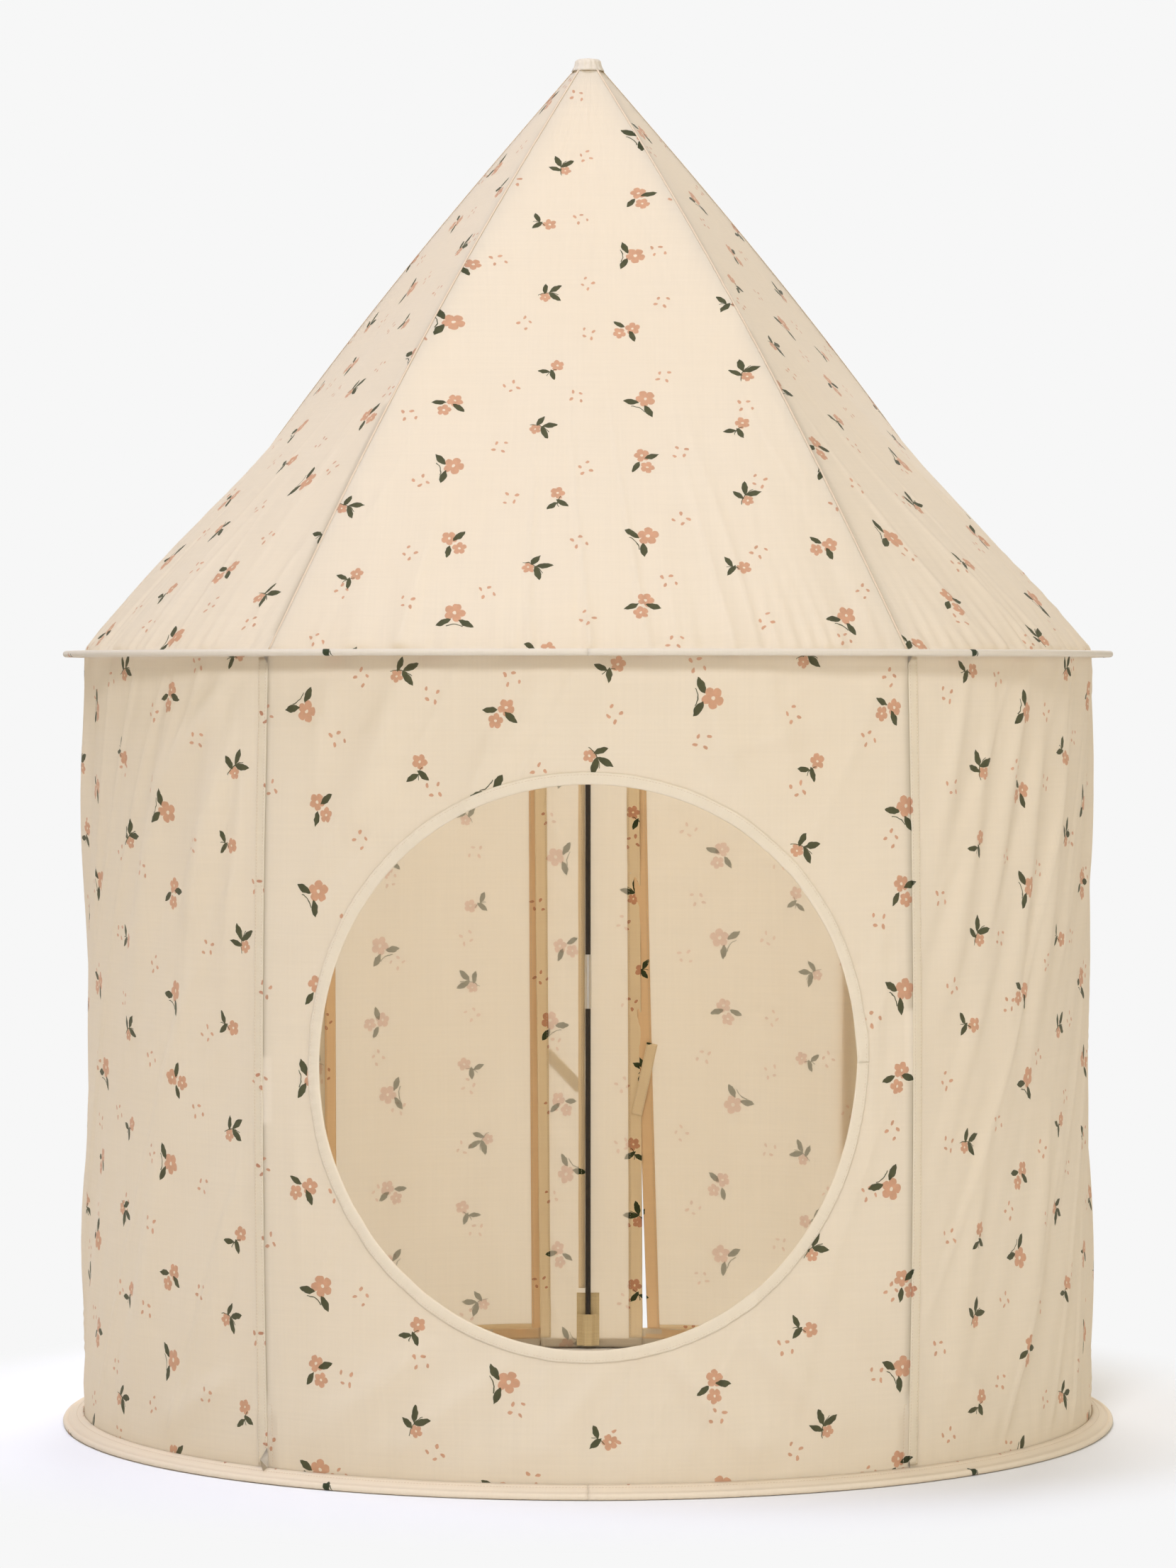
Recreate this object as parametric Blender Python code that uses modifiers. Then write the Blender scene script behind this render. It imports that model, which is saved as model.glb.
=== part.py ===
"""Pop-up play tent: a sewn cloth pavilion on two sprung hoops and five sectional poles.

Metres, +Z up, the floor at z = 0 and the tent's axis on Z. The round window faces -Y.
An azimuth is in degrees round the tent from the window, positive towards +X.
"""

import math

import bmesh
import bpy
from mathutils import Matrix, Vector

# Overall sizes
HOOP_DIAMETER = 1.05
EAVE_HEIGHT = 0.765
TOTAL_HEIGHT = 1.364
POLES = 5

# Cloth
FABRIC = 0.0005
GAP = 0.0003
SEAM_GAP = 0.0009
WALL_INSET = 0.021
WALL_BOW = 0.008
WALL_FLATNESS = 0.154
ROOF_BOW = 0.015
ROOF_FLATNESS = 0.95
ROOF_ROUND_SHARE = 0.6
HEM_RISE = 0.0108
FLANGE_WIDTH = 0.010

# Hoops and their sewn casings
HOOP_WIRE = 0.0028
JOINER_DIAMETER = 0.0042
JOINER_LENGTH = 0.050
SLEEVE_WALL = 0.0004
CASING_RADIUS = 0.00285

# Poles
ROD_DIAMETER = 0.006
FERRULE_DIAMETER = 0.0078
FERRULE_LENGTH = 0.060
ELBOW_LEG = 0.022
ELBOW_RADIUS = 0.025
POLE_FOOT = 0.0035
POLE_TIP_RADIUS = 0.0075
RIDGE_TUCK = 1.3
ROD_GAP = 0.0006
ROD_CLEARANCE = 0.0005

# Foot pockets
POCKET_WIDTH = 0.025
POCKET_FRONT = 0.038
POCKET_BACK = 0.061
WEBBING = 0.0006

# Window
WINDOW_HEIGHT = 0.3885
WINDOW_CLEAR = 0.513
BINDING_WIDTH = 0.011
BINDING_GAP = 0.0009

# Doorways, one each side of the rear pole
STRIP_LEFT = 0.060
STRIP_RIGHT = 0.069
JAMB_WIDTH = 0.057
SILL_HEIGHT = 0.030
CURTAIN_LAP = 0.007
CURTAIN_MEET = 39.0
CURTAIN_OVERLAP = 12.0
CURTAIN_CLEAR = 0.005
CURTAIN_SPACING = 0.006
CURTAIN_FOOT = 0.016
FOLD_DEPTH = 0.0016
FOLD_PITCH = 11.0

# Tie straps
TIE_WIDTH = 0.0125
TIE_THICKNESS = 0.0006

# Apex
CAP_RADIUS = 0.0125
CAP_SKIRT = 0.013
GORE_TOP_RADIUS = 0.0125

# Facets: the hoops and all cloth share the same columns round the tent
FACETS = 60
WALL_ROWS = 6
ROOF_ROWS = 8
WINDOW_FACETS = 60

# Worked out from the sizes above
STEP = 360 / FACETS
HALF_PANEL = 180 / POLES
CASING_APOTHEM = CASING_RADIUS * math.cos(math.radians(22.5)) + FABRIC / 2
HOOP_R = HOOP_DIAMETER / 2 - CASING_APOTHEM
WALL_R = HOOP_DIAMETER / 2 - WALL_INSET
CLOTH_R = WALL_R - FABRIC / 2
LAYER = FABRIC + GAP
SLOT_OUTER = CLOTH_R + FLANGE_WIDTH
CASING_INNER = WALL_R + 0.0007
POLE_INSET = FABRIC / 2 + GAP + FERRULE_DIAMETER / 2 + GAP
POLE_R = CLOTH_R - POLE_INSET
FERRULE_WALL = (FERRULE_DIAMETER - ROD_DIAMETER) / 2 - ROD_CLEARANCE
EAVE_SPREAD = 1.5 * LAYER + 0.0001
CURTAIN_TOP = EAVE_HEIGHT - EAVE_SPREAD - FABRIC / 2 - GAP


def remove_everything():
    for old in list(bpy.data.objects):
        bpy.data.objects.remove(old, do_unlink=True)
    for old in list(bpy.data.collections):
        bpy.data.collections.remove(old)


def collection(name):
    made = bpy.data.collections.new(name)
    bpy.context.scene.collection.children.link(made)
    return made


def finish(name, colour, roughness, metallic=0.0):
    """A plain Principled material."""
    made = bpy.data.materials.new(name)
    made.use_nodes = True
    shader = made.node_tree.nodes["Principled BSDF"]
    shader.inputs["Base Color"].default_value = (*colour, 1)
    shader.inputs["Roughness"].default_value = roughness
    shader.inputs["Metallic"].default_value = metallic
    made.diffuse_color = (*colour, 1)
    return made


def keep(name, bm, material, origin=Vector()):
    """Makes the named sub-part from a bmesh, with the object's origin at the given place."""
    mesh = bpy.data.meshes.new(name)
    bmesh.ops.recalc_face_normals(bm, faces=bm.faces)
    bm.to_mesh(mesh)
    bm.free()
    mesh.transform(Matrix.Translation(-origin))
    mesh.shade_smooth()
    mesh.set_sharp_from_angle(angle=math.radians(35))
    made = bpy.data.objects.new(name, mesh)
    made.location = origin
    mesh.materials.append(material)
    tent.objects.link(made)
    return made


def thicken(piece, thickness):
    wall = piece.modifiers.new("wall", "SOLIDIFY")
    wall.thickness = thickness
    wall.offset = 0
    wall.use_even_offset = True
    return piece


def grid(across, up, place):
    """A bmesh sheet with a column for each value in across and a row for each in up."""
    bm = bmesh.new()
    columns = len(across) - 1
    rows = len(up) - 1
    bmesh.ops.create_grid(bm, x_segments=columns, y_segments=rows, size=0.5)
    for vert in bm.verts:
        column = round((vert.co.x + 0.5) * columns)
        row = round((vert.co.y + 0.5) * rows)
        vert.co = place(across[column], up[row])
    return bm


def spread(first, last, count):
    """count + 1 even values from first to last."""
    return [first + (last - first) * i / count for i in range(count + 1)]


def polar(azimuth, radius, height):
    turn = math.radians(azimuth)
    return Vector((radius * math.sin(turn), -radius * math.cos(turn), height))


def on_facet(azimuth):
    """How much nearer the axis a chord between two facet corners runs at this azimuth."""
    half = STEP / 2
    return math.cos(math.radians(half)) / math.cos(math.radians(azimuth % STEP - half))


def section(azimuth, flatness):
    """The plan of the cloth between two poles: 0 is round, 1 is a straight side."""
    off_middle = (azimuth + HALF_PANEL) % (2 * HALF_PANEL) - HALF_PANEL
    side = math.cos(math.radians(HALF_PANEL)) / math.cos(math.radians(off_middle))
    return 1 - flatness * (1 - side)


def wall_bow(height):
    """How far the poles bow out at this height, from 0 at the hoops to 1 half way up."""
    return math.sin(math.pi * min(max(height / EAVE_HEIGHT, 0), 1))


def wall_point(azimuth, height, outward=0.0):
    """A point on the middle of the wall cloth, or outward of it."""
    bow = wall_bow(height)
    radius = (CLOTH_R + WALL_BOW * bow) * section(azimuth, WALL_FLATNESS * bow)
    held = max(0, 1 - 3 * bow)
    radius *= 1 - held * (1 - on_facet(azimuth))
    return polar(azimuth, radius + outward, height)


def bowed(start, end, bow, share):
    """A point (radius, height) on a line bowed outwards."""
    along = end - start
    normal = Vector((along.y, -along.x)).normalized()
    return start.lerp(end, share) + normal * bow * math.sin(math.pi * share)


ROOF_FOOT = Vector((CLOTH_R, EAVE_HEIGHT + LAYER / 2))
ROOF_POINT = Vector((0, TOTAL_HEIGHT + 0.004))


def roof_point(azimuth, share):
    """A point on the middle of the roof cloth, from 0 at the eave to 1 at the point."""
    ridge = bowed(ROOF_FOOT, ROOF_POINT, ROOF_BOW, share)
    tight = min(share / ROOF_ROUND_SHARE, 1)
    flatness = ROOF_FLATNESS * tight * tight * (3 - 2 * tight)
    return polar(azimuth, ridge.x * on_facet(azimuth) * section(azimuth, flatness), ridge.y)


def half_seam(radius):
    """The angle that half a seam's gap takes at this radius, in degrees."""
    return math.degrees(SEAM_GAP / 2 / radius)


def tube(name, points, diameter, sides, material, wall=0.0):
    """A rod along the points, or a hollow sleeve if it has a wall."""
    path = bpy.data.curves.new(name, "CURVE")
    path.dimensions = "3D"
    path.bevel_depth = diameter / 2
    path.bevel_resolution = (sides - 4) // 2
    path.use_fill_caps = wall == 0
    line = path.splines.new("POLY")
    line.points.add(len(points) - 1)
    for place, point in zip(line.points, points):
        place.co = (*point, 1)
    made = bpy.data.objects.new(name, path)
    path.materials.append(material)
    tent.objects.link(made)
    if not wall:
        return made
    sleeve = thicken(as_mesh(made, material), wall)
    sleeve.modifiers["wall"].offset = -1
    return sleeve


def as_mesh(curve, material):
    """The curve object made a mesh, with its caps welded on."""
    bpy.context.view_layer.update()
    graph = bpy.context.evaluated_depsgraph_get()
    mesh = bpy.data.meshes.new_from_object(curve.evaluated_get(graph))
    name = curve.name
    path = curve.data
    bpy.data.objects.remove(curve)
    bpy.data.curves.remove(path)
    bm = bmesh.new()
    bm.from_mesh(mesh)
    bpy.data.meshes.remove(mesh)
    bmesh.ops.remove_doubles(bm, verts=bm.verts, dist=1e-6)
    return keep(name, bm, material)


def hide(helper):
    """Keeps a cutter or a joined form out of the tent itself."""
    tent.objects.unlink(helper)
    cutters.objects.link(helper)
    helper.hide_render = True
    helper.display_type = "WIRE"
    return helper


def combine(piece, helper, operation):
    change = piece.modifiers.new(helper.name, "BOOLEAN")
    change.operation = operation
    change.solver = "EXACT"
    change.object = helper


def casing_profile(tilt, spread_half, corners):
    """The folded tape round a hoop: two layers of flange that lean by tilt, and a tube."""
    lean = Vector((-math.cos(tilt), math.sin(tilt)))
    across = Vector((lean.y, -lean.x))
    reach = (HOOP_R - CASING_INNER) / math.cos(tilt)
    upper = lean * reach + across * spread_half
    lower = lean * reach - across * spread_half
    ring = [CASING_RADIUS * Vector((math.cos(a), math.sin(a))) for a in map(math.radians, corners)]
    return [upper, *ring, lower]


def casing(name, height, profile, material):
    """The tape's profile turned once round the tent."""
    bm = bmesh.new()
    points = [bm.verts.new((HOOP_R + x, 0, height + z)) for x, z in profile]
    for first, second in zip(points, points[1:]):
        bm.edges.new((first, second))
    mesh = bpy.data.meshes.new(name)
    bm.to_mesh(mesh)
    bm.free()
    made = bpy.data.objects.new(name, mesh)
    mesh.materials.append(material)
    tent.objects.link(made)
    turn = made.modifiers.new("turn", "SCREW")
    turn.axis = "Z"
    turn.steps = FACETS
    turn.render_steps = FACETS
    turn.use_merge_vertices = True
    turn.merge_threshold = 0.0001
    return thicken(made, FABRIC)


def hoop(name, height, wire, joiner):
    """A sprung wire bent into a ring, with its ends held in a straight joiner sleeve."""
    middle = STEP / 2
    end = math.degrees(ROD_GAP / HOOP_R) / 2
    angles = [middle + end] + [STEP * i for i in range(1, FACETS + 1)] + [360 + middle - end]
    points = [polar(a, HOOP_R * on_facet(a), height) for a in angles]
    tube(name, points, HOOP_WIRE, 6, wire)
    side = (polar(STEP, HOOP_R, height) - polar(0, HOOP_R, height)).normalized()
    centre = polar(middle, HOOP_R * on_facet(middle), height)
    ends = [centre - side * JOINER_LENGTH / 2, centre + side * JOINER_LENGTH / 2]
    tube(f"{name}_joiner", ends, JOINER_DIAMETER, 8, joiner, SLEEVE_WALL)


def pole(name, azimuth, wall_joint, roof_joint, rod, metal):
    """Four rods and the three ferrules that join them, the middle one bent at the eave.

    The ferrule on the roof is fixed on the lower rod, and the upper rod pushes into it.
    """
    foot = Vector((POLE_R, POLE_FOOT))
    slope = (ROOF_POINT - ROOF_FOOT).normalized()
    inset = Vector((-slope.y, slope.x)) * POLE_INSET * RIDGE_TUCK
    knee = ROOF_FOOT + inset
    knee += slope * (knee.x - POLE_R) / -slope.x
    tip_share = (POLE_TIP_RADIUS - ROOF_POINT.x - inset.x) / (ROOF_FOOT.x - ROOF_POINT.x)
    tip = ROOF_POINT + (ROOF_FOOT - ROOF_POINT) * tip_share + inset
    rise = (knee - foot).length
    run = (tip - knee).length

    def wall_at(distance):
        return bowed(foot, knee, WALL_BOW, distance / rise)

    def roof_at(distance):
        return bowed(knee, tip, ROOF_BOW, distance / run)

    def placed(points):
        return [polar(azimuth, point.x, point.y) for point in points]

    down = (wall_at(rise - ELBOW_LEG) - knee).normalized()
    up = (roof_at(ELBOW_LEG) - knee).normalized()
    bend = math.pi - down.angle(up)
    tangent = ELBOW_RADIUS * math.tan(bend / 2)
    start = knee + down * tangent
    centre = start + Vector((down.y, -down.x)) * ELBOW_RADIUS
    arm = start - centre
    turned = [centre + Matrix.Rotation(bend * i / 3, 2) @ arm for i in range(4)]
    leg = ELBOW_LEG + tangent
    elbow = [knee + down * leg, *turned, knee + up * leg]
    tube(f"{name}_eave_elbow", placed(elbow), FERRULE_DIAMETER, 8, metal, FERRULE_WALL)

    half = FERRULE_LENGTH / 2
    joint = wall_joint - foot.y
    lower = [wall_at(d) for d in (0, joint / 3, joint * 2 / 3, joint - half, joint - ROD_GAP / 2)]
    tube(f"{name}_wall_lower_rod", placed(lower), ROD_DIAMETER, 8, rod)
    ferrule = [wall_at(joint - half), wall_at(joint), wall_at(joint + half)]
    tube(f"{name}_wall_ferrule", placed(ferrule), FERRULE_DIAMETER, 8, metal, FERRULE_WALL)
    last = rise - tangent - ROD_GAP
    stops = (joint + ROD_GAP / 2, joint + half, (joint + rise) / 2, rise - leg, last)
    tube(f"{name}_wall_upper_rod", placed([wall_at(d) for d in stops]), ROD_DIAMETER, 8, rod)

    first = tangent + ROD_GAP
    stops = (first, leg, leg + (roof_joint - leg) / 2, roof_joint - half, roof_joint - ROD_GAP / 2)
    lower = tube(f"{name}_roof_lower_rod", placed([roof_at(d) for d in stops]), ROD_DIAMETER, 8, rod)
    lower = as_mesh(lower, rod)
    ferrule = placed([roof_at(roof_joint - half), roof_at(roof_joint + half)])
    plug = tube(f"{name}_roof_ferrule", ferrule, FERRULE_DIAMETER, 8, metal)
    socket = placed([roof_at(roof_joint), roof_at(roof_joint + half + FERRULE_DIAMETER)])
    bore = tube(f"{name}_roof_bore", socket, ROD_DIAMETER + 2 * ROD_CLEARANCE, 8, metal)
    combine(lower, hide(as_mesh(plug, metal)), "UNION")
    combine(lower, hide(as_mesh(bore, metal)), "DIFFERENCE")
    stops = (roof_joint + ROD_GAP / 2, roof_joint + half, (roof_joint + run) / 2, run)
    tube(f"{name}_roof_upper_rod", placed([roof_at(d) for d in stops]), ROD_DIAMETER, 8, rod)


def foot_pocket(name, azimuth, material):
    """Folded webbing: a back strap against the wall and a lower front that holds the foot."""
    back = CLOTH_R - FABRIC / 2 - 2 * GAP - WEBBING / 2
    side = back - POCKET_WIDTH / 2 * math.tan(math.radians(STEP / 2))
    front = POLE_R - ROD_DIAMETER / 2 - GAP - WEBBING / 2
    half = POCKET_WIDTH / 2
    cheek = ROD_DIAMETER / 2 + 2 * WEBBING
    wing = cheek + 0.0025
    outline = [(-half, side), (0, back), (half, side), (half, side - 0.0014), (wing, side - 0.0014)]
    outline += [(cheek, front), (-cheek, front), (-wing, side - 0.0014), (-half, side - 0.0014)]
    turn = Matrix.Rotation(math.radians(azimuth), 4, "Z")
    bottom = POLE_FOOT - GAP - WEBBING / 2
    bm = bmesh.new()
    loop = [bm.verts.new(turn @ Vector((x, -y, bottom))) for x, y in outline]
    floor = bm.faces.new(loop)
    walls = bmesh.ops.extrude_edge_only(bm, edges=floor.edges[:])["geom"]
    rim = [v for v in walls if isinstance(v, bmesh.types.BMVert)]
    strap = [e for e in walls if isinstance(e, bmesh.types.BMEdge) and is_back(e, turn, side)]
    bmesh.ops.translate(bm, verts=rim, vec=bowed_out(azimuth, bottom, POCKET_FRONT))
    raised = bmesh.ops.extrude_edge_only(bm, edges=strap)["geom"]
    top = [v for v in raised if isinstance(v, bmesh.types.BMVert)]
    bmesh.ops.translate(bm, verts=top, vec=bowed_out(azimuth, POCKET_FRONT, POCKET_BACK))
    thicken(keep(name, bm, material), WEBBING)


def is_back(edge, turn, side):
    """True for an edge that lies along the back strap."""
    inside = turn.inverted()
    return all((inside @ v.co).y < 1e-6 - side for v in edge.verts)


def bowed_out(azimuth, low, high):
    """The step from one height to another along the bowed line of a pole."""
    return polar(azimuth, WALL_BOW * (wall_bow(high) - wall_bow(low)), high - low)


def roof_gore(name, middle, material):
    """One of the five wedges of the roof, with a foot sewn into the eave casing."""
    gore_top = 1 - GORE_TOP_RADIUS / CLOTH_R

    def place(offset, share):
        radius = max(CLOTH_R * (1 - max(share, 0)), GORE_TOP_RADIUS)
        edge = 1 - half_seam(radius) / HALF_PANEL
        azimuth = middle + offset * edge
        if share < 0:
            return polar(azimuth, SLOT_OUTER * on_facet(azimuth), EAVE_HEIGHT + LAYER / 2)
        return roof_point(azimuth, share)

    offsets = spread(-HALF_PANEL, HALF_PANEL, round(2 * HALF_PANEL / STEP))
    shares = [-1] + spread(0, gore_top, ROOF_ROWS)
    return thicken(keep(name, grid(offsets, shares, place), material), FABRIC)


HEM_FOOT = "hem"
EAVE_HEAD = "eave"


def wall_rows():
    above = spread(POCKET_BACK + 0.004, EAVE_HEIGHT - LAYER / 2, WALL_ROWS)
    return [HEM_FOOT, HEM_RISE] + above + [EAVE_HEAD]


def wall_place(azimuth, row):
    """A wall panel's rows: its foot in the hem, the wall itself, and its head in the eave."""
    if row == HEM_FOOT:
        drop = FLANGE_WIDTH * math.tan(HEM_TILT)
        return polar(azimuth, SLOT_OUTER * on_facet(azimuth), HEM_RISE - drop)
    if row == EAVE_HEAD:
        return polar(azimuth, SLOT_OUTER * on_facet(azimuth), EAVE_HEIGHT - LAYER / 2)
    return wall_point(azimuth, row)


def columns_between(first, last):
    """The azimuths of a panel's columns: its two edges and the facet corners between."""
    inner = [STEP * i for i in range(math.ceil(first / STEP), math.floor(last / STEP) + 1)]
    return [first] + [a for a in inner if first + 1 < a < last - 1] + [last]


def wall_panel(name, first, last, material):
    bm = grid(columns_between(first, last), wall_rows(), wall_place)
    return thicken(keep(name, bm, material), FABRIC)


def window_columns():
    """The front panel has twice the columns, so that the cloth round the window is smooth."""
    return spread(-HALF_PANEL + seam, HALF_PANEL - seam, round(4 * HALF_PANEL / STEP))


def front_panel(name, material):
    panel = thicken(keep(name, grid(window_columns(), wall_rows(), wall_place), material), FABRIC)
    window_hole(panel)


def window_y(x, height):
    """The front panel's cloth on its own facets, so that the binding lies flat on it."""
    columns = window_columns()
    rows = wall_rows()[1:-1]
    below = max(r for r in rows if r <= height)
    above = min(r for r in rows if r > height)

    def at(row):
        line = [wall_point(a, row) for a in columns]
        left, right = next((a, b) for a, b in zip(line, line[1:]) if a.x <= x <= b.x)
        return left.y + (right.y - left.y) * (x - left.x) / (right.x - left.x)

    return at(below) + (at(above) - at(below)) * (height - below) / (above - below)


def window_hole(panel):
    """Cuts the round window with a hidden cylinder."""
    bm = bmesh.new()
    radius = WINDOW_CLEAR / 2 + FABRIC + BINDING_GAP
    lying = Matrix.Rotation(math.pi / 2, 4, "X")
    bmesh.ops.create_cone(
        bm,
        cap_ends=True,
        segments=WINDOW_FACETS,
        radius1=radius,
        radius2=radius,
        depth=0.3,
        matrix=Matrix.Translation((0, -WALL_R, WINDOW_HEIGHT)) @ lying,
    )
    mesh = bpy.data.meshes.new("window_cutter")
    bm.to_mesh(mesh)
    bm.free()
    cutter = bpy.data.objects.new("window_cutter", mesh)
    tent.objects.link(cutter)
    combine(panel, hide(cutter), "DIFFERENCE")


def window_binding(name, material):
    """Bias tape folded over the edge of the window hole."""
    clear = WINDOW_CLEAR / 2 + FABRIC / 2
    wide = WINDOW_CLEAR / 2 + BINDING_WIDTH
    side = FABRIC + BINDING_GAP
    fold = [(wide, -side), (clear + side, -side), (clear, 0), (clear + side, side), (wide, side)]

    def place(turn, step):
        radius, inward = step
        x = radius * math.cos(turn)
        z = WINDOW_HEIGHT + radius * math.sin(turn)
        normal = Vector((-x, math.sqrt(WALL_R**2 - x * x))) / WALL_R
        return Vector((x + normal.x * inward, window_y(x, z) + normal.y * inward, z))

    start = math.pi / WINDOW_FACETS
    turns = spread(start, start + 2 * math.pi, WINDOW_FACETS)
    bm = grid(turns, fold, place)
    bmesh.ops.remove_doubles(bm, verts=bm.verts, dist=1e-6)
    return thicken(keep(name, bm, material), FABRIC)


def door_sill(name, first, last, material):
    """The low bound edge of a doorway, sewn into the hem between its two sides."""
    rows = [HEM_FOOT, HEM_RISE, SILL_HEIGHT]
    bm = grid(columns_between(first, last), rows, wall_place)
    return thicken(keep(name, bm, material), FABRIC)


def curtain_radius(layer):
    return CLOTH_R + CURTAIN_CLEAR + layer * CURTAIN_SPACING


def curtain(name, first, last, layer, material):
    """A curtain with soft folds that hangs from its top edge, where its hinge line lies."""
    radius = curtain_radius(layer)
    middle = (first + last) / 2
    origin = polar(middle, radius, CURTAIN_TOP)

    def place(azimuth, height):
        drop = (CURTAIN_TOP - height) / (CURTAIN_TOP - CURTAIN_FOOT)
        fold = FOLD_DEPTH * drop * math.sin(2 * math.pi * azimuth / FOLD_PITCH)
        return polar(azimuth, (radius + fold) * on_facet(azimuth), height)

    columns = spread(first, last, round(abs(last - first) / (FOLD_PITCH / 4)))
    bm = grid(columns, spread(CURTAIN_FOOT, CURTAIN_TOP, 5), place)
    return thicken(keep(name, bm, material, origin), FABRIC)


def tie(name, start, end, outward, material):
    """A flat strap that hangs from its sewn top end at start, given as azimuth and height.

    Its origin is level with the highest corner, so that no corner swings into the cloth.
    """
    length = Vector((math.radians(end[0] - start[0]) * CLOTH_R, end[1] - start[1]))
    across = Vector((-length.y, length.x)).normalized() * TIE_WIDTH / 2

    def place(side, share):
        slide = length * share + across * side
        azimuth = start[0] + math.degrees(slide.x / CLOTH_R)
        return wall_point(azimuth, start[1] + slide.y, outward)

    bm = grid([-1, 0, 1], spread(0, 1, 4), place)
    origin = wall_point(start[0], start[1] + abs(across.y), outward)
    return thicken(keep(name, bm, material, origin), TIE_THICKNESS)


def ridge_radius(height):
    """How far from the axis the roof's ridges are at this height."""
    below = 0
    above = 1
    for halving in range(30):
        share = (below + above) / 2
        if bowed(ROOF_FOOT, ROOF_POINT, ROOF_BOW, share).y < height:
            below = share
        else:
            above = share
    return bowed(ROOF_FOOT, ROOF_POINT, ROOF_BOW, below).x


def apex_cap(name, material):
    """A small cap over the five pole tips and the points of the roof."""
    profile = [(0, TOTAL_HEIGHT), (CAP_RADIUS * 0.8, TOTAL_HEIGHT), (CAP_RADIUS, TOTAL_HEIGHT - 0.002)]
    foot = TOTAL_HEIGHT - CAP_SKIRT
    profile.append((ridge_radius(foot) + 2 * LAYER, foot))
    bm = bmesh.new()
    points = [bm.verts.new((x, 0, z - FABRIC / 2)) for x, z in profile]
    edges = [bm.edges.new(pair) for pair in zip(points, points[1:])]
    bmesh.ops.spin(
        bm,
        geom=points + edges,
        cent=(0, 0, 0),
        axis=(0, 0, 1),
        angle=2 * math.pi,
        steps=20,
        use_merge=True,
    )
    bmesh.ops.remove_doubles(bm, verts=bm.verts, dist=1e-6)
    return thicken(keep(name, bm, material), FABRIC)


remove_everything()
tent = collection("pop_up_play_tent")
cutters = collection("cutters")

cotton = finish("cream_cotton", (0.86, 0.74, 0.58), 0.9)
shaded = finish("doubled_cotton", (0.70, 0.50, 0.28), 0.9)
tape = finish("binding_tape", (0.90, 0.78, 0.66), 0.85)
webbing = finish("khaki_webbing", (0.60, 0.47, 0.26), 0.85)
fibreglass = finish("dark_fibreglass", (0.012, 0.009, 0.007), 0.35)
steel = finish("ferrule_steel", (0.68, 0.68, 0.66), 0.3, 1.0)
wire = finish("spring_wire", (0.35, 0.35, 0.36), 0.35, 1.0)

# The hem stands on a flat facet, and its flange leans up to the wall's stitch line.
HEM_CENTRE = CASING_APOTHEM
HEM_TILT = math.atan2(HEM_RISE - HEM_CENTRE, HOOP_R - CLOTH_R)

hoop("eave_hoop", EAVE_HEIGHT, wire, steel)
hoop("base_hoop", HEM_CENTRE, wire, steel)
eave_turn = (151, 112.5, 67.5, 22.5, -22.5, -67.5, -112.5, -151)
casing("eave_casing", EAVE_HEIGHT, casing_profile(0, EAVE_SPREAD, eave_turn), cotton)
hem_turn = (141, 95, 58, 22.5, -22.5, -67.5, -112.5, -150, -187)
casing("base_hem", HEM_CENTRE, casing_profile(HEM_TILT, LAYER, hem_turn), cotton)

# Each pole's azimuth, the height of its wall joint and how far up the roof its last joint is.
pole_layout = {
    "front_left_pole": (-HALF_PANEL, 0.362, 0.330),
    "front_right_pole": (HALF_PANEL, 0.403, 0.426),
    "side_left_pole": (-3 * HALF_PANEL, 0.385, 0.380),
    "side_right_pole": (3 * HALF_PANEL, 0.385, 0.380),
    "rear_pole": (5 * HALF_PANEL, 0.405, 0.380),
}
for pole_name, (azimuth, wall_joint, roof_joint) in pole_layout.items():
    pole(pole_name, azimuth, wall_joint, roof_joint, fibreglass, steel)
    foot_pocket(pole_name.replace("pole", "pocket"), azimuth, webbing)

gore_names = ("front", "right", "rear_right", "rear_left", "left")
for number, gore_name in enumerate(gore_names):
    roof_gore(f"roof_gore_{gore_name}", number * 2 * HALF_PANEL, cotton)
apex_cap("apex_cap", cotton)

# Wall panels meet at the poles, apart from the two doorways beside the rear pole.
seam = half_seam(CLOTH_R)
front_panel("front_panel", cotton)
window_binding("window_binding", tape)
jamb = 3 * HALF_PANEL + math.degrees(JAMB_WIDTH / CLOTH_R)
strip_right = 180 - math.degrees(STRIP_RIGHT / CLOTH_R)
strip_left = math.degrees(STRIP_LEFT / CLOTH_R) - 180
wall_panel("side_panel_right", HALF_PANEL + seam, jamb, cotton)
wall_panel("side_panel_left", -jamb, -HALF_PANEL - seam, cotton)
wall_panel("rear_strip", strip_right, strip_left + 360, cotton)
door_sill("door_sill_right", jamb + seam, strip_right - seam, shaded)
door_sill("door_sill_left", strip_left + seam, -jamb - seam, shaded)

# Seen from inside, the strip's curtain is the outer one on the left and the inner on the right.
lap = math.degrees(CURTAIN_LAP / CLOTH_R)
meet = 180 - CURTAIN_MEET
half_overlap = CURTAIN_OVERLAP / 2
curtain("curtain_right_far", jamb - lap, meet + half_overlap, 1, cotton)
curtain("curtain_right_near", meet - half_overlap, strip_right + lap, 0, cotton)
curtain("curtain_left_near", strip_left - lap, half_overlap - meet, 1, cotton)
curtain("curtain_left_far", -meet - half_overlap, lap - jamb, 0, cotton)

tie_lift = FABRIC / 2 + GAP + TIE_THICKNESS / 2 + 0.0002
tie("tie_left", (strip_left - 1.6, 0.3275), (-180 + 0.9, 0.286), tie_lift, shaded)
tie("tie_right", (strip_right - 0.3, 0.337), (strip_right + 0.5, 0.255), -tie_lift, shaded)
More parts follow.
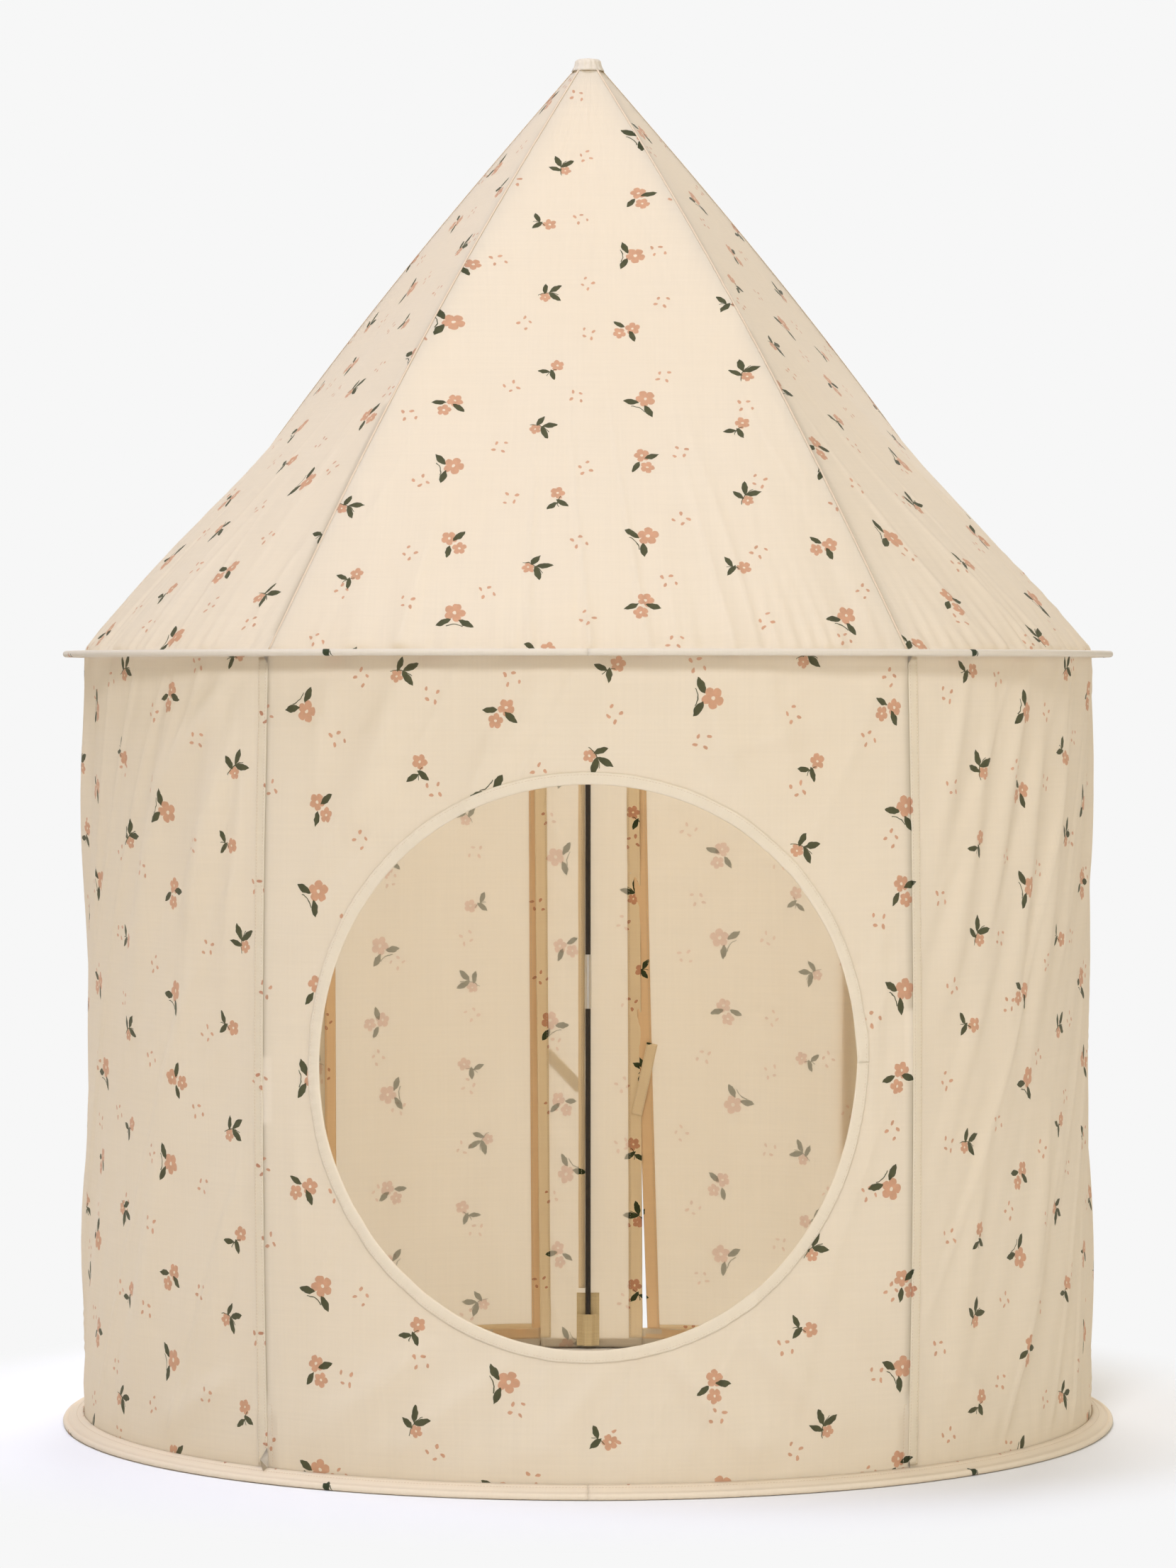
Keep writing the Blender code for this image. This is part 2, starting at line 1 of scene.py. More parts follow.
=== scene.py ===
"""Looks of the pop-up play tent: sewn cotton, sprung rings, sectional poles and webbing.

Metres, +Z up, the round window faces -Y. An azimuth is in degrees round the tent from the
window, positive towards +X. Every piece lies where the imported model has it.
"""

import math

import bmesh
import bpy
from mathutils import Matrix, Vector, noise


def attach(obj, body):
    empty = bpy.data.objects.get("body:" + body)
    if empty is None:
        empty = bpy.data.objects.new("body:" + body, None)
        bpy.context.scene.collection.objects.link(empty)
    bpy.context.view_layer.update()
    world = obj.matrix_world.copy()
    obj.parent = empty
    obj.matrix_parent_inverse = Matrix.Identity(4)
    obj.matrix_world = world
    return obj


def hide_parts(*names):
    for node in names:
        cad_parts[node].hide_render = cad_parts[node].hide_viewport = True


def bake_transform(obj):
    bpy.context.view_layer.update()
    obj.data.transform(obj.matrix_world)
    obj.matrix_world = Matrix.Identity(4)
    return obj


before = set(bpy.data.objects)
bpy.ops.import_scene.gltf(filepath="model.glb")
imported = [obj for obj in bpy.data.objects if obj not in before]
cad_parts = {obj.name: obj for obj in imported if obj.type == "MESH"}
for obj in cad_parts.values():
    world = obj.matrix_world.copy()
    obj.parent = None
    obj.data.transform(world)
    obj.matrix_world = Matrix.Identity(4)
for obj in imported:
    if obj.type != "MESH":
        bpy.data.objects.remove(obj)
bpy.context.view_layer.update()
scene = bpy.context.scene


def add_object(name, data):
    made = bpy.data.objects.new(name, data)
    scene.collection.objects.link(made)
    return made


# The camera stands level with the middle of the tent, about five metres in front of it,
# and its frame is shifted down so that the base ring and the floor come into view.
camera_data = bpy.data.cameras.new("camera")
camera_data.lens = 115.5
camera_data.sensor_width = 36
camera_data.shift_y = -0.070
camera = add_object("camera", camera_data)
camera.location = (0, -5.06, 0.745)
camera.rotation_euler = (math.pi / 2, 0, 0)
scene.camera = camera
scene.view_settings.view_transform = "Standard"

# The studio: a soft lamp in front and above, weaker ones over the roof and on the right, a
# large one behind that shines through the cloth, and a pale surround.
PALE = (0.93, 0.93, 0.93)


def soft_lamp(name, place, aim, size, power, colour=(1, 1, 1)):
    data = bpy.data.lights.new(name, "AREA")
    data.shape = "DISK"
    data.size = size
    data.energy = power
    data.color = colour
    lamp = add_object(name, data)
    lamp.location = place
    lamp.rotation_euler = (Vector(aim) - Vector(place)).to_track_quat("-Z", "Y").to_euler()


class Wiring:
    """The shader nodes of a material or world; an input is a plain value or a node's output."""

    def __init__(self, owner):
        owner.use_nodes = True
        self.tree = owner.node_tree

    def feed(self, node, inputs):
        for key, value in dict(inputs).items():
            socket = node.inputs[key]
            if isinstance(value, bpy.types.NodeSocket):
                self.tree.links.new(value, socket)
            else:
                socket.default_value = (*value, 1) if socket.type == "RGBA" else value

    def add(self, kind, inputs=(), out=0, **settings):
        """A node with these inputs and settings; gives back the output that out names."""
        node = self.tree.nodes.new("ShaderNode" + kind)
        for setting, value in settings.items():
            setattr(node, setting, value)
        self.feed(node, inputs)
        return node.outputs[out]

    def math(self, operation, *values):
        return self.add("Math", enumerate(values), operation=operation)

    def vector(self, operation, *values, out=0):
        return self.add("VectorMath", enumerate(values), out, operation=operation)

    def scaled(self, vector, scale):
        return self.add("VectorMath", {0: vector, "Scale": scale}, operation="SCALE")

    def split(self, vector):
        return self.add("SeparateXYZ", {0: vector}).node.outputs[:2]

    def most(self, masks):
        """The strongest of the masks."""
        whole = masks[0]
        for mask in masks[1:]:
            whole = self.math("MAXIMUM", whole, mask)
        return whole

    def noise(self, vector, scale, detail=2, out="Fac", space="2D"):
        inputs = {"Vector": vector, "Scale": scale, "Detail": detail}
        return self.add("TexNoise", inputs, out, noise_dimensions=space)

    def tint(self, share, low, high):
        inputs = {"Factor": share, "A": low, "B": high}
        return self.add("Mix", inputs, "Result", data_type="RGBA")

    def bump(self, height, strength, distance):
        return self.add("Bump", {"Height": height, "Strength": strength, "Distance": distance})

    def principled(self, inputs):
        shader = self.tree.nodes["Principled BSDF"]
        self.feed(shader, inputs)
        return shader.outputs[0]

    def blend(self, share, first, second, output="Material Output"):
        mixed = self.add("MixShader", {0: share, 1: first, 2: second})
        self.feed(self.tree.nodes[output], {"Surface": mixed})


soft_lamp("key_lamp", (-0.45, -4.2, 3.2), (0, 0, 0.7), 1.0, 103, (0.97, 1.0, 1.11))
soft_lamp("top_lamp", (-1.2, -0.4, 4.3), (0, 0, 0.9), 1.4, 57, (0.91, 0.985, 1.37))
soft_lamp("right_lamp", (3.8, -3.0, 1.3), (0, 0, 0.6), 1.6, 31)
soft_lamp("back_lamp", (0.4, 3.8, 2.4), (0, 0, 0.5), 2.6, 110, (0.99, 1.0, 1.05))

world = bpy.data.worlds.new("surround")
scene.world = world
make = Wiring(world)
surround = world.node_tree.nodes["Background"]
make.feed(surround, {"Color": (1.0, 0.945, 0.81), "Strength": 0.36})
ray = make.add("LightPath").node.outputs
seen = make.math("MAXIMUM", ray["Is Camera Ray"], ray["Is Glossy Ray"])
seen = make.math("MAXIMUM", seen, ray["Is Transmission Ray"])
backdrop = make.add("Background", {"Color": PALE})
make.blend(seen, surround.outputs[0], backdrop, "World Output")


def object_from(bm, name, *materials):
    """A new object with the bmesh's shape, which is then freed."""
    mesh = bpy.data.meshes.new(name)
    bm.to_mesh(mesh)
    bm.free()
    for material in materials:
        mesh.materials.append(material)
    return add_object(name, mesh)


# The floor is a pale sweep that keeps the tent's soft shadow near it and runs out, away from
# the tent, into the same pale tone as the surround.
FLOOR = 0.92
floor_paint = bpy.data.materials.new("floor_paint")
make = Wiring(floor_paint)
ground = make.principled(
    {"Base Color": (FLOOR, FLOOR, FLOOR), "Roughness": 0.9, "Specular IOR Level": 0.1}
)
away = make.vector("LENGTH", make.add("TexCoord", out="Object"), out="Value")
reach = {"Value": away, "From Min": 0.56, "From Max": 0.80}
fade = make.add("MapRange", reach, "Result", interpolation_type="SMOOTHSTEP")
seen = make.math("MULTIPLY", fade, make.add("LightPath", out="Is Camera Ray"))
make.blend(seen, ground, make.add("Emission", {"Color": PALE}))
bm = bmesh.new()
below = Matrix.Translation((0, 0, -0.0006))
bmesh.ops.create_circle(bm, cap_ends=True, segments=96, radius=40, matrix=below)
floor = object_from(bm, "floor", floor_paint)

# The printed cotton: a light plain weave, cream, with a scattered print of small blossoms,
# leaf sprigs and dots. It is screen printed on the right side, so the wrong side shows the
# print faintly, and the cloth is thin enough for light to come through.
CREAM = (0.90, 0.812, 0.66)
PEACH = (0.65, 0.325, 0.19)
LEAF = (0.042, 0.056, 0.022)
CELL = (0.094, 0.088)
# Each motif's shapes: kind, place, turn in degrees, half length and half width, in mm.
MOTIFS = (
    (
        ("blossom", 0, 2.4, 0, 10.4, 0),
        ("leaf", -10.6, -9.0, 205, 8.3, 3.5),
        ("leaf", 11.0, -9.6, -28, 8.3, 3.5),
        ("stem", 0.2, -11.0, 4, 8.0, 0.5),
    ),
    (
        ("blossom", 0, 5.4, 0, 7.4, 0),
        ("leaf", 5.2, -6.4, 150, 7.3, 2.8),
        ("leaf", -4.6, -10.0, 40, 6.7, 2.7),
        ("stem", 0.6, -5.0, 84, 6.6, 0.4),
    ),
    (
        ("blossom", -7.0, 3.2, 20, 8.1, 0),
        ("blossom", 8.0, -1.2, 50, 7.2, 0),
        ("leaf", -0.4, 10.6, 74, 7.8, 3.2),
        ("leaf", 1.0, -10.0, -66, 7.3, 2.9),
    ),
    (
        ("leaf", -3.2, 6.4, 112, 8.3, 3.2),
        ("leaf", 7.0, 3.2, 38, 8.5, 3.2),
        ("leaf", -6.0, -4.2, 162, 7.3, 2.8),
        ("blossom", 5.0, -7.0, -4, 6.1, 0),
        ("stem", 0, -2.4, 78, 11.0, 0.4),
    ),
)
DOTS = (
    ("dot", 0, 5.4, 70, 2.5, 1.5),
    ("dot", 6.2, 0, -40, 2.3, 1.4),
    ("dot", -5.6, -2.4, 20, 2.4, 1.5),
    ("dot", 3.0, -9.0, 50, 2.2, 1.4),
)


def shape_mask(make, spot, shape, x, y, turn, long, wide):
    """1 inside one shape of the print: a pointed leaf, a thin bowed stem, an oval dot, or a
    blossom of five round petals with an open eye."""
    inputs = {
        "Vector": spot,
        "Location": (x / 1000, y / 1000, 0),
        "Rotation": (0, 0, math.radians(turn)),
        "Scale": (long / 1000, (wide if shape in ("leaf", "dot") else long) / 1000, 1),
    }
    own = make.add("Mapping", inputs, vector_type="TEXTURE")
    x, y = make.split(own)
    if shape == "leaf":
        edge = make.math("MULTIPLY_ADD", x, x, make.math("ABSOLUTE", y))
        return make.math("LESS_THAN", edge, 1)
    if shape == "stem":
        arch = make.math("MULTIPLY", x, x)
        off = make.math("ABSOLUTE", make.math("MULTIPLY_ADD", arch, 0.28, y))
        near = make.math("LESS_THAN", off, wide / long)
        return make.math("MULTIPLY", near, make.math("LESS_THAN", arch, 1))
    length = make.vector("LENGTH", own, out="Value")
    if shape == "dot":
        return make.math("LESS_THAN", length, 1)
    petals = make.math("MULTIPLY", make.math("ARCTAN2", y, x), 2.5)
    petals = make.math("ABSOLUTE", make.math("COSINE", petals))
    petals = make.math("MULTIPLY_ADD", make.math("POWER", petals, 0.45), 0.46, 0.54)
    inside = make.math("LESS_THAN", length, petals)
    return make.math("MULTIPLY", inside, make.math("GREATER_THAN", length, 0.17))


def scattered(make, uv, width, height, shift, loose, turn):
    """A half-drop grid of cells: the place in each, jogged and turned, and the cell's kind."""
    x, y = make.split(uv)
    across = make.math("ADD", x, shift)
    column = make.math("FLOOR", make.math("DIVIDE", across, width))
    up = make.math("MULTIPLY_ADD", make.math("FLOORED_MODULO", column, 2), height / 2, y)
    row = make.math("FLOOR", make.math("DIVIDE", up, height))
    repeat = [make.math("FLOORED_MODULO", *pair) for pair in ((column, 6), (row, 5))]
    cell = make.add("CombineXYZ", enumerate((*repeat, shift * 100)))
    chance = make.add("TexWhiteNoise", {"Vector": cell}, noise_dimensions="3D").node.outputs
    local = [make.math("FLOORED_MODULO", *pair) for pair in ((across, width), (up, height))]
    local = make.add("CombineXYZ", enumerate(local))
    centre = (-(width + loose) / 2, -(height + loose) / 2, 0)
    jog = make.vector("MULTIPLY_ADD", chance["Color"], (loose, loose, 0), centre)
    inputs = {
        "Vector": make.vector("ADD", local, jog),
        "Angle": make.math("MULTIPLY", chance["Value"], turn),
    }
    spun = make.add("VectorRotate", inputs, rotation_type="Z_AXIS")
    kind = make.math("FLOORED_MODULO", make.math("MULTIPLY_ADD", row, 2, column), 4)
    return spun, kind


def print_masks(make, uv):
    """The print's green and peach masks, scattered over the cloth's own metres."""
    wobble = make.noise(uv, 260, 0, "Color")
    uv = make.vector("MULTIPLY_ADD", wobble, (0.0012, 0.0012, 0), uv)
    spot, kind = scattered(make, uv, *CELL, 0, 0.024, 2.6)
    green = []
    peach = []
    for number, shapes in enumerate(MOTIFS):
        here = make.math("COMPARE", kind, number, 0.5)
        for ink, blossoms in ((green, False), (peach, True)):
            chosen = [row for row in shapes if (row[0] == "blossom") == blossoms]
            drawn = make.most([shape_mask(make, spot, *row) for row in chosen])
            ink.append(make.math("MULTIPLY", drawn, here))
    spot, kind = scattered(make, uv, CELL[0] * 0.9, CELL[1] * 0.95, 0.047, 0.03, 6)
    peach += [shape_mask(make, spot, *row) for row in DOTS]
    return make.most(green), make.most(peach)


def weave(make, uv, pitch):
    """The height of a plain weave, and the thin and thick places of its yarns."""
    turns = make.split(make.scaled(uv, 2 * math.pi / pitch))
    height = make.math("MULTIPLY", *(make.math("SINE", turn) for turn in turns))
    stretched = [make.vector("MULTIPLY", uv, by) for by in ((9, 420, 1), (420, 9, 1))]
    slub = make.math("ADD", *(make.noise(long_way, 1, 3) for long_way in stretched))
    slub = make.math("MULTIPLY", slub, 0.5)
    return make.math("MULTIPLY_ADD", height, 0.25, slub), slub


def paint_pole_shade(make, colour):
    """Painted shade where a pole leans on the cloth from behind: the colour is painted darker
    and warmer over a dark rod, and painted lighter, as painted light, over a bright ferrule. The
    sheet's own attribute says where."""
    behind = make.add("Attribute", out="Fac", attribute_name="painted_pole_shade")
    loss = make.scaled((0.22, 0.24, 0.30), behind)
    return make.vector("MULTIPLY", colour, make.vector("SUBTRACT", (1, 1, 1), loss))


def times(colour, *factors):
    """The colour with each channel scaled, by one factor or by one each, up to 1."""
    return [min(1, c * f) for c, f in zip(colour, factors if len(factors) > 1 else factors * 3)]


def cotton(name, ink, base=CREAM, through=0.5, pitch=0.0009):
    """Woven cotton; ink is the print's strength and through how much light it lets pass."""
    made = bpy.data.materials.new(name)
    make = Wiring(made)
    uv = make.add("UVMap", uv_map="cloth")
    height, slub = weave(make, uv, pitch)
    broad = make.math("MULTIPLY", make.noise(uv, 7, 3), 0.5)
    ground = make.tint(slub, times(base, 0.93), times(base, 1.05))
    colour = faint = make.tint(broad, ground, times(base, 1, 0.975, 0.93))
    if ink:
        # Painted shade over the poles' rods and painted light over their ferrules, before the
        # print.
        colour = paint_pole_shade(make, colour)
        green, peach = print_masks(make, uv)
        wash = make.noise(uv, 120)
        petal = make.tint(wash, times(PEACH, 0.86), times(PEACH, 1.18))
        leaves = make.tint(wash, times(LEAF, 0.7), times(LEAF, 1.5))
        faint = make.tint(make.math("MULTIPLY", peach, ink * 0.45), colour, petal)
        faint = make.tint(make.math("MULTIPLY", green, ink * 0.9), faint, leaves)
        colour = make.tint(make.math("MULTIPLY", peach, ink), colour, petal)
        colour = make.tint(make.math("MULTIPLY", green, ink), colour, leaves)
    inputs = {"Roughness": 0.86, "Specular IOR Level": 0.22, "Sheen Weight": 0.12}
    inputs |= {"Sheen Roughness": 0.5, "Base Color": colour}
    inputs["Normal"] = make.bump(height, 0.5, 0.00012)
    shader = make.principled(inputs)
    if through:
        paled = make.add("Gamma", {"Color": faint, "Gamma": 0.5})
        make.blend(through, shader, make.add("BsdfTranslucent", {"Color": paled}))
    return made


cotton_face = cotton("printed_cotton", 1.0)
cotton_back = cotton("cotton_wrong_side", 0.36)
BOTH_SIDES = (cotton_face, cotton_back)

# The front panel of the wall: one width of cotton between the two front poles, with a round
# hole for the window. Its foot is sewn into the base hem and its head into the eave casing,
# and it is drawn tight by the poles, with long soft folds where the pull changes direction.
CLOTH = 0.0004
CLOTH_R = 0.50375
EAVE = 0.765
HALF_PANEL = 36.0
WALL_BOW = 0.008
WALL_FLATNESS = 0.154
HEM_RISE = 0.0108
HEAD_GAP = 0.0006
ALLOWANCE_FOOT = 0.0013
SLOT_REACH = 0.0095
WINDOW_Z = 0.3885
WINDOW_R = 0.2565
# Each pole's azimuth, the height of its wall ferrule and how far up the roof its roof ferrule
# is, both to the ferrule's middle.
POLES = {
    "front_left": (-36, 0.362, 0.330),
    "front_right": (36, 0.403, 0.426),
    "side_left": (-108, 0.385, 0.380),
    "side_right": (108, 0.385, 0.380),
    "rear": (180, 0.405, 0.380),
}


def clamp(value):
    return min(max(value, 0), 1)


def uneven(*place):
    """Smooth noise, from -1 to 1."""
    return noise.noise(Vector(place))


def polar(azimuth, radius, height):
    turn = math.radians(azimuth)
    return Vector((radius * math.sin(turn), -radius * math.cos(turn), height))


def off_panel_middle(azimuth):
    return (azimuth + HALF_PANEL) % (2 * HALF_PANEL) - HALF_PANEL


def straight(off_middle):
    """The straight line between two poles, as a share of their radius."""
    return math.cos(math.radians(HALF_PANEL)) / math.cos(math.radians(off_middle))


def wall_radius(azimuth, height):
    """The drawn-tight wall's radius, without folds."""
    bow = math.sin(math.pi * clamp(height / EAVE))
    side = straight(off_panel_middle(azimuth))
    return (CLOTH_R + WALL_BOW * bow) * (1 - WALL_FLATNESS * bow * (1 - side))


def fold_height(u, v, folds):
    """Long soft folds, each a ridge from one end to the other: (u, v, u, v, width, height)."""
    total = 0.0
    for u0, v0, u1, v1, width, rise in folds:
        run = Vector((u1 - u0, v1 - v0))
        off = Vector((u - u0, v - v0))
        share = off.dot(run) / run.length_squared
        if not 0 < share < 1:
            continue
        beside = (off.x * run.y - off.y * run.x) / run.length
        spread = width * (0.6 + 0.8 * share)
        total += rise * math.exp(-((beside / spread) ** 2)) * math.sin(math.pi * share) ** 0.8
    return total


def crumple(u, v, seed, drape):
    """Cotton that has been packed away and drawn tight again: long ripples and soft creases
    that run down to the left, a broad unevenness and fine creases."""
    across = u - 0.45 * v
    slow = 0.0014 * uneven(u * 7.5, v * 3.4, seed)
    ripple = 0.0029 * uneven(across * 21, v * 1.8 + 3, seed + 2)
    ripple += 0.0014 * uneven(across * 47, v * 3.1, seed + 5)
    line = uneven(across * 15, v * 1.3, seed + 9)
    crease = 0.0027 * max(0, 1 - 7 * abs(line)) ** 1.5
    quick = 0.00018 * uneven(u * 55, v * 38, seed + 7)
    return slow + drape * (ripple + crease) + quick


def sheet_of_cloth(name, across, up, place, uv, *materials, thickness=CLOTH, shade=None):
    """A woven sheet with a column for each value in across and a row for each in up."""
    bm = bmesh.new()
    columns = len(across) - 1
    rows = len(up) - 1
    bmesh.ops.create_grid(bm, x_segments=columns, y_segments=rows, size=0.5)
    layer = bm.loops.layers.uv.new("cloth")
    # Where a shade is given, each point keeps its painted pole shade.
    behind = bm.verts.layers.float.new("painted_pole_shade") if shade else None
    at = {}
    for vert in bm.verts:
        i = round((vert.co.x + 0.5) * columns)
        at[vert] = (across[i], up[round((vert.co.y + 0.5) * rows)])
    for vert, where in at.items():
        vert.co = place(*where)
        if shade:
            vert[behind] = shade(*where)
    for face in bm.faces:
        face.smooth = True
        for loop in face.loops:
            loop[layer].uv = uv(*at[loop.vert])
    bmesh.ops.remove_doubles(bm, verts=bm.verts, dist=1e-6)
    piece = object_from(bm, name, *materials)
    wall = piece.modifiers.new("thickness", "SOLIDIFY")
    wall.thickness = thickness
    wall.offset = 0
    wall.use_even_offset = True
    wall.material_offset = len(materials) - 1
    return piece


def rod_shade(beside, along, ferrule, first, last, reach=0.0095):
    """How much painted shade a pole puts on the cloth this far beside its seam: 1 is a rod's
    painted shade, below 0 a ferrule's painted light; along runs up the pole, and nothing is
    painted below first or above last. The rod's painted shade fades out within reach, and a thin
    dark line is painted at the seam for the shadow that its turned edge throws."""
    ends = clamp((along - first) / 0.004) * clamp((last - along) / 0.02)
    # A ferrule behind the cloth is painted lighter: painted light.
    if abs(along - ferrule) < 0.031:
        return -0.22 * ends * clamp((0.0110 - beside) / 0.0015)
    # A painted shadow: the thin dark line along the seam's turned edge.
    line = 0.8 * max(0, 1 - beside / 0.0016)
    return ends * (max(0, 1 - beside / reach) ** 1.3 + line)


def even(first, last, step):
    """Even values from first to last, about a step apart."""
    count = max(1, round(abs(last - first) / step))
    return [first + (last - first) * i / count for i in range(count + 1)]


def tautness(azimuth, height):
    """0 on a pole and on the two rings, where the cloth is drawn tight, and 1 away from them."""
    from_pole = (HALF_PANEL - abs(off_panel_middle(azimuth))) * math.radians(1) * CLOTH_R
    from_ring = min((height - HEM_RISE) / 0.03, (EAVE - height) / 0.02)
    return clamp((from_pole - 0.006) / 0.05) ** 0.7 * clamp(from_ring)


def wall_surface(azimuth, height, folds=(), seed=0, drape=0.65):
    """A point on the wall cloth, with its folds, from the allowance that hangs inside the
    hem to the eave's slot."""
    if height <= HEM_RISE:
        drop = height * (1 - ALLOWANCE_FOOT / HEM_RISE)
        return polar(azimuth, CLOTH_R, ALLOWANCE_FOOT + drop)
    if height > EAVE - 0.0005:
        return polar(azimuth, CLOTH_R + SLOT_REACH, EAVE - CLOTH)
    u = math.radians(azimuth) * CLOTH_R
    lift = 2.2 * fold_height(u, height, folds) + crumple(u, height, seed, drape)
    eased = math.sin(u * 210 + 3 * uneven(u * 30, seed, 0))
    lift += 0.0005 * eased * math.exp(-(EAVE - height) / 0.015)
    lift += 0.0008 * eased * math.exp(-(height - HEM_RISE) / 0.03)
    lift *= tautness(azimuth, height)
    return polar(azimuth, wall_radius(azimuth, height) + lift, height)


def cloth_uv(azimuth, height):
    return (math.radians(azimuth) * CLOTH_R + 2, height + 1)


FRONT_FOLDS = (
    (-0.03, 0.76, -0.12, 0.60, 0.016, 0.0030),
    (0.02, 0.76, 0.00, 0.65, 0.013, 0.0016),
    (0.10, 0.76, 0.15, 0.60, 0.015, 0.0024),
    (0.16, 0.76, 0.20, 0.62, 0.012, 0.0018),
    (-0.17, 0.76, -0.22, 0.60, 0.015, 0.0024),
    (-0.24, 0.76, -0.27, 0.62, 0.010, 0.0014),
    (0.07, 0.66, 0.29, 0.72, 0.011, 0.0016),
    (-0.28, 0.55, -0.19, 0.66, 0.014, 0.0020),
    (-0.14, 0.14, -0.28, 0.03, 0.016, 0.0034),
    (-0.06, 0.13, -0.20, 0.02, 0.015, 0.0030),
    (0.02, 0.12, -0.06, 0.02, 0.013, 0.0020),
    (0.07, 0.13, 0.17, 0.02, 0.016, 0.0034),
    (0.14, 0.15, 0.26, 0.04, 0.017, 0.0036),
    (0.19, 0.20, 0.29, 0.12, 0.012, 0.0020),
    (0.27, 0.30, 0.285, 0.56, 0.010, 0.0016),
    (-0.275, 0.18, -0.285, 0.40, 0.009, 0.0012),
)
FRONT_SEED = 1.3
SEAM_GAP = 0.00045
SEAM_HALF = math.degrees(SEAM_GAP / CLOTH_R)
half_width = math.radians(HALF_PANEL - SEAM_HALF) * CLOTH_R
head_rise = EAVE - HEAD_GAP - WINDOW_Z
foot_drop = WINDOW_Z - HEM_RISE


def outline_from_window(turn):
    """How far a line from the window's middle runs to the panel's outline."""
    c, s = math.cos(turn), math.sin(turn)
    reach = []
    if abs(c) > 1e-9:
        reach.append(half_width / abs(c))
    if s > 1e-9:
        reach.append(head_rise / s)
    if s < -1e-9:
        reach.append(foot_drop / -s)
    return min(reach)


def front_place(turn, share):
    """The azimuth and height on the front panel; share 0 is the window and 1 the outline."""
    ends = (WINDOW_R + 0.0012, outline_from_window(turn))
    azimuths = [math.degrees(reach * math.cos(turn) / CLOTH_R) for reach in ends]
    heights = [WINDOW_Z + reach * math.sin(turn) for reach in ends]
    return tuple(rim + (end - rim) * min(share, 1) for rim, end in (azimuths, heights))


def front_point(turn, share):
    azimuth, height = front_place(turn, share)
    if share > 1 and height > EAVE - 0.002:
        height = EAVE
    if share > 1 and height < HEM_RISE + 0.0001:
        height = 0
    return wall_surface(azimuth, height, FRONT_FOLDS, FRONT_SEED)


def front_shade(turn, share):
    # Painted pole shade beside the two front seams; the left one is narrower.
    azimuth, height = front_place(turn, share)
    beside = math.radians(HALF_PANEL - abs(azimuth)) * CLOTH_R
    name, reach = ("front_right", 0.0095) if azimuth > 0 else ("front_left", 0.006)
    return rod_shade(beside, height, POLES[name][1], 0.074, EAVE - 0.01, reach)


head_turn = math.atan2(head_rise, half_width)
foot_turn = math.atan2(foot_drop, half_width)
front_turns = [0.0]
for stop in (
    head_turn, math.pi - head_turn, math.pi + foot_turn, 2 * math.pi - foot_turn, 2 * math.pi
):
    front_turns += even(front_turns[-1], stop, math.radians(0.75))[1:]
front_panel = sheet_of_cloth(
    "front_panel_cloth",
    front_turns[::-1],
    even(0, 0.94, 1 / 46) + even(0.95, 1, 0.005) + [1.01],
    front_point,
    lambda turn, share: cloth_uv(*front_place(turn, share)),
    *BOTH_SIDES,
    shade=front_shade,
)
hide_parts("front_panel")
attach(front_panel, "tent")

# The window's binding: bias tape of a paler cream, folded over the raw edge of the hole and
# sewn down near its outer edge. The curve of the edge makes it pucker between the stitches.
tape = cotton("bias_tape", 1.0, base=(0.95, 0.845, 0.66), through=0.35)
thread = bpy.data.materials.new("sewing_thread")
make = Wiring(thread)
fibre = make.noise(make.add("TexCoord", out="Object"), 900, space="3D")
shade = make.tint(fibre, (0.70, 0.54, 0.37), (0.86, 0.73, 0.55))
make.principled({"Base Color": shade, "Roughness": 0.7, "Sheen Weight": 0.3})
TAPE_WIDTH = 0.0112
TAPE_SEWN = 0.0088
STITCH = 0.0030
THREAD_R = 0.00017
SIDES = 5


def folded(half):
    """A folded tape's outline from its outer half, given as (out from the fold, lift)."""
    return half + [(out, -lift) for out, lift in reversed(half[:-1])]


tape_face = [(TAPE_WIDTH, 0.0009), (0.0095, 0.0011), (0.0070, 0.0012), (0.0045, 0.0013)]
TAPE_FOLD = folded(tape_face + [(0.0025, 0.0012), (0.0011, 0.0009), (0.0003, 0.0005), (0, 0)])


def round_window(turn, out, lift):
    """A point out from the window's clear edge and lifted off the front cloth. The hole is a
    circle in the flat cloth, so the wall's curve makes it look a little narrower."""
    radius = WINDOW_R + 0.0002 + out
    height = WINDOW_Z + radius * math.sin(turn)
    azimuth = math.degrees(radius * math.cos(turn) / CLOTH_R)
    return wall_surface(azimuth, height, FRONT_FOLDS, FRONT_SEED) + polar(azimuth, lift, 0)


def puckered(along, seed):
    """The small even bulges of cloth between stitches, from -1 to 1."""
    slow = uneven(along * 40, seed, 0.5)
    return 0.6 * math.sin(along * 620 + 5 * slow) + 0.7 * slow


def binding_point(step, turn):
    out, lift = TAPE_FOLD[step]
    bulge = puckered(turn * WINDOW_R, 3.0) * min(1, out / 0.006)
    side = 1 if lift > 0 else -1
    edge = out + 0.0004 * uneven(turn * 30, 1.5, 0) * (out / TAPE_WIDTH)
    return round_window(turn, edge, lift + side * 0.00035 * bulge)


def add_tube(bm, rings):
    """Faces between rings of vertices, one after the other."""
    for low, high in zip(rings, rings[1:]):
        for side in range(len(low)):
            beside = (side + 1) % len(low)
            bm.faces.new((low[side], low[beside], high[beside], high[side])).smooth = True


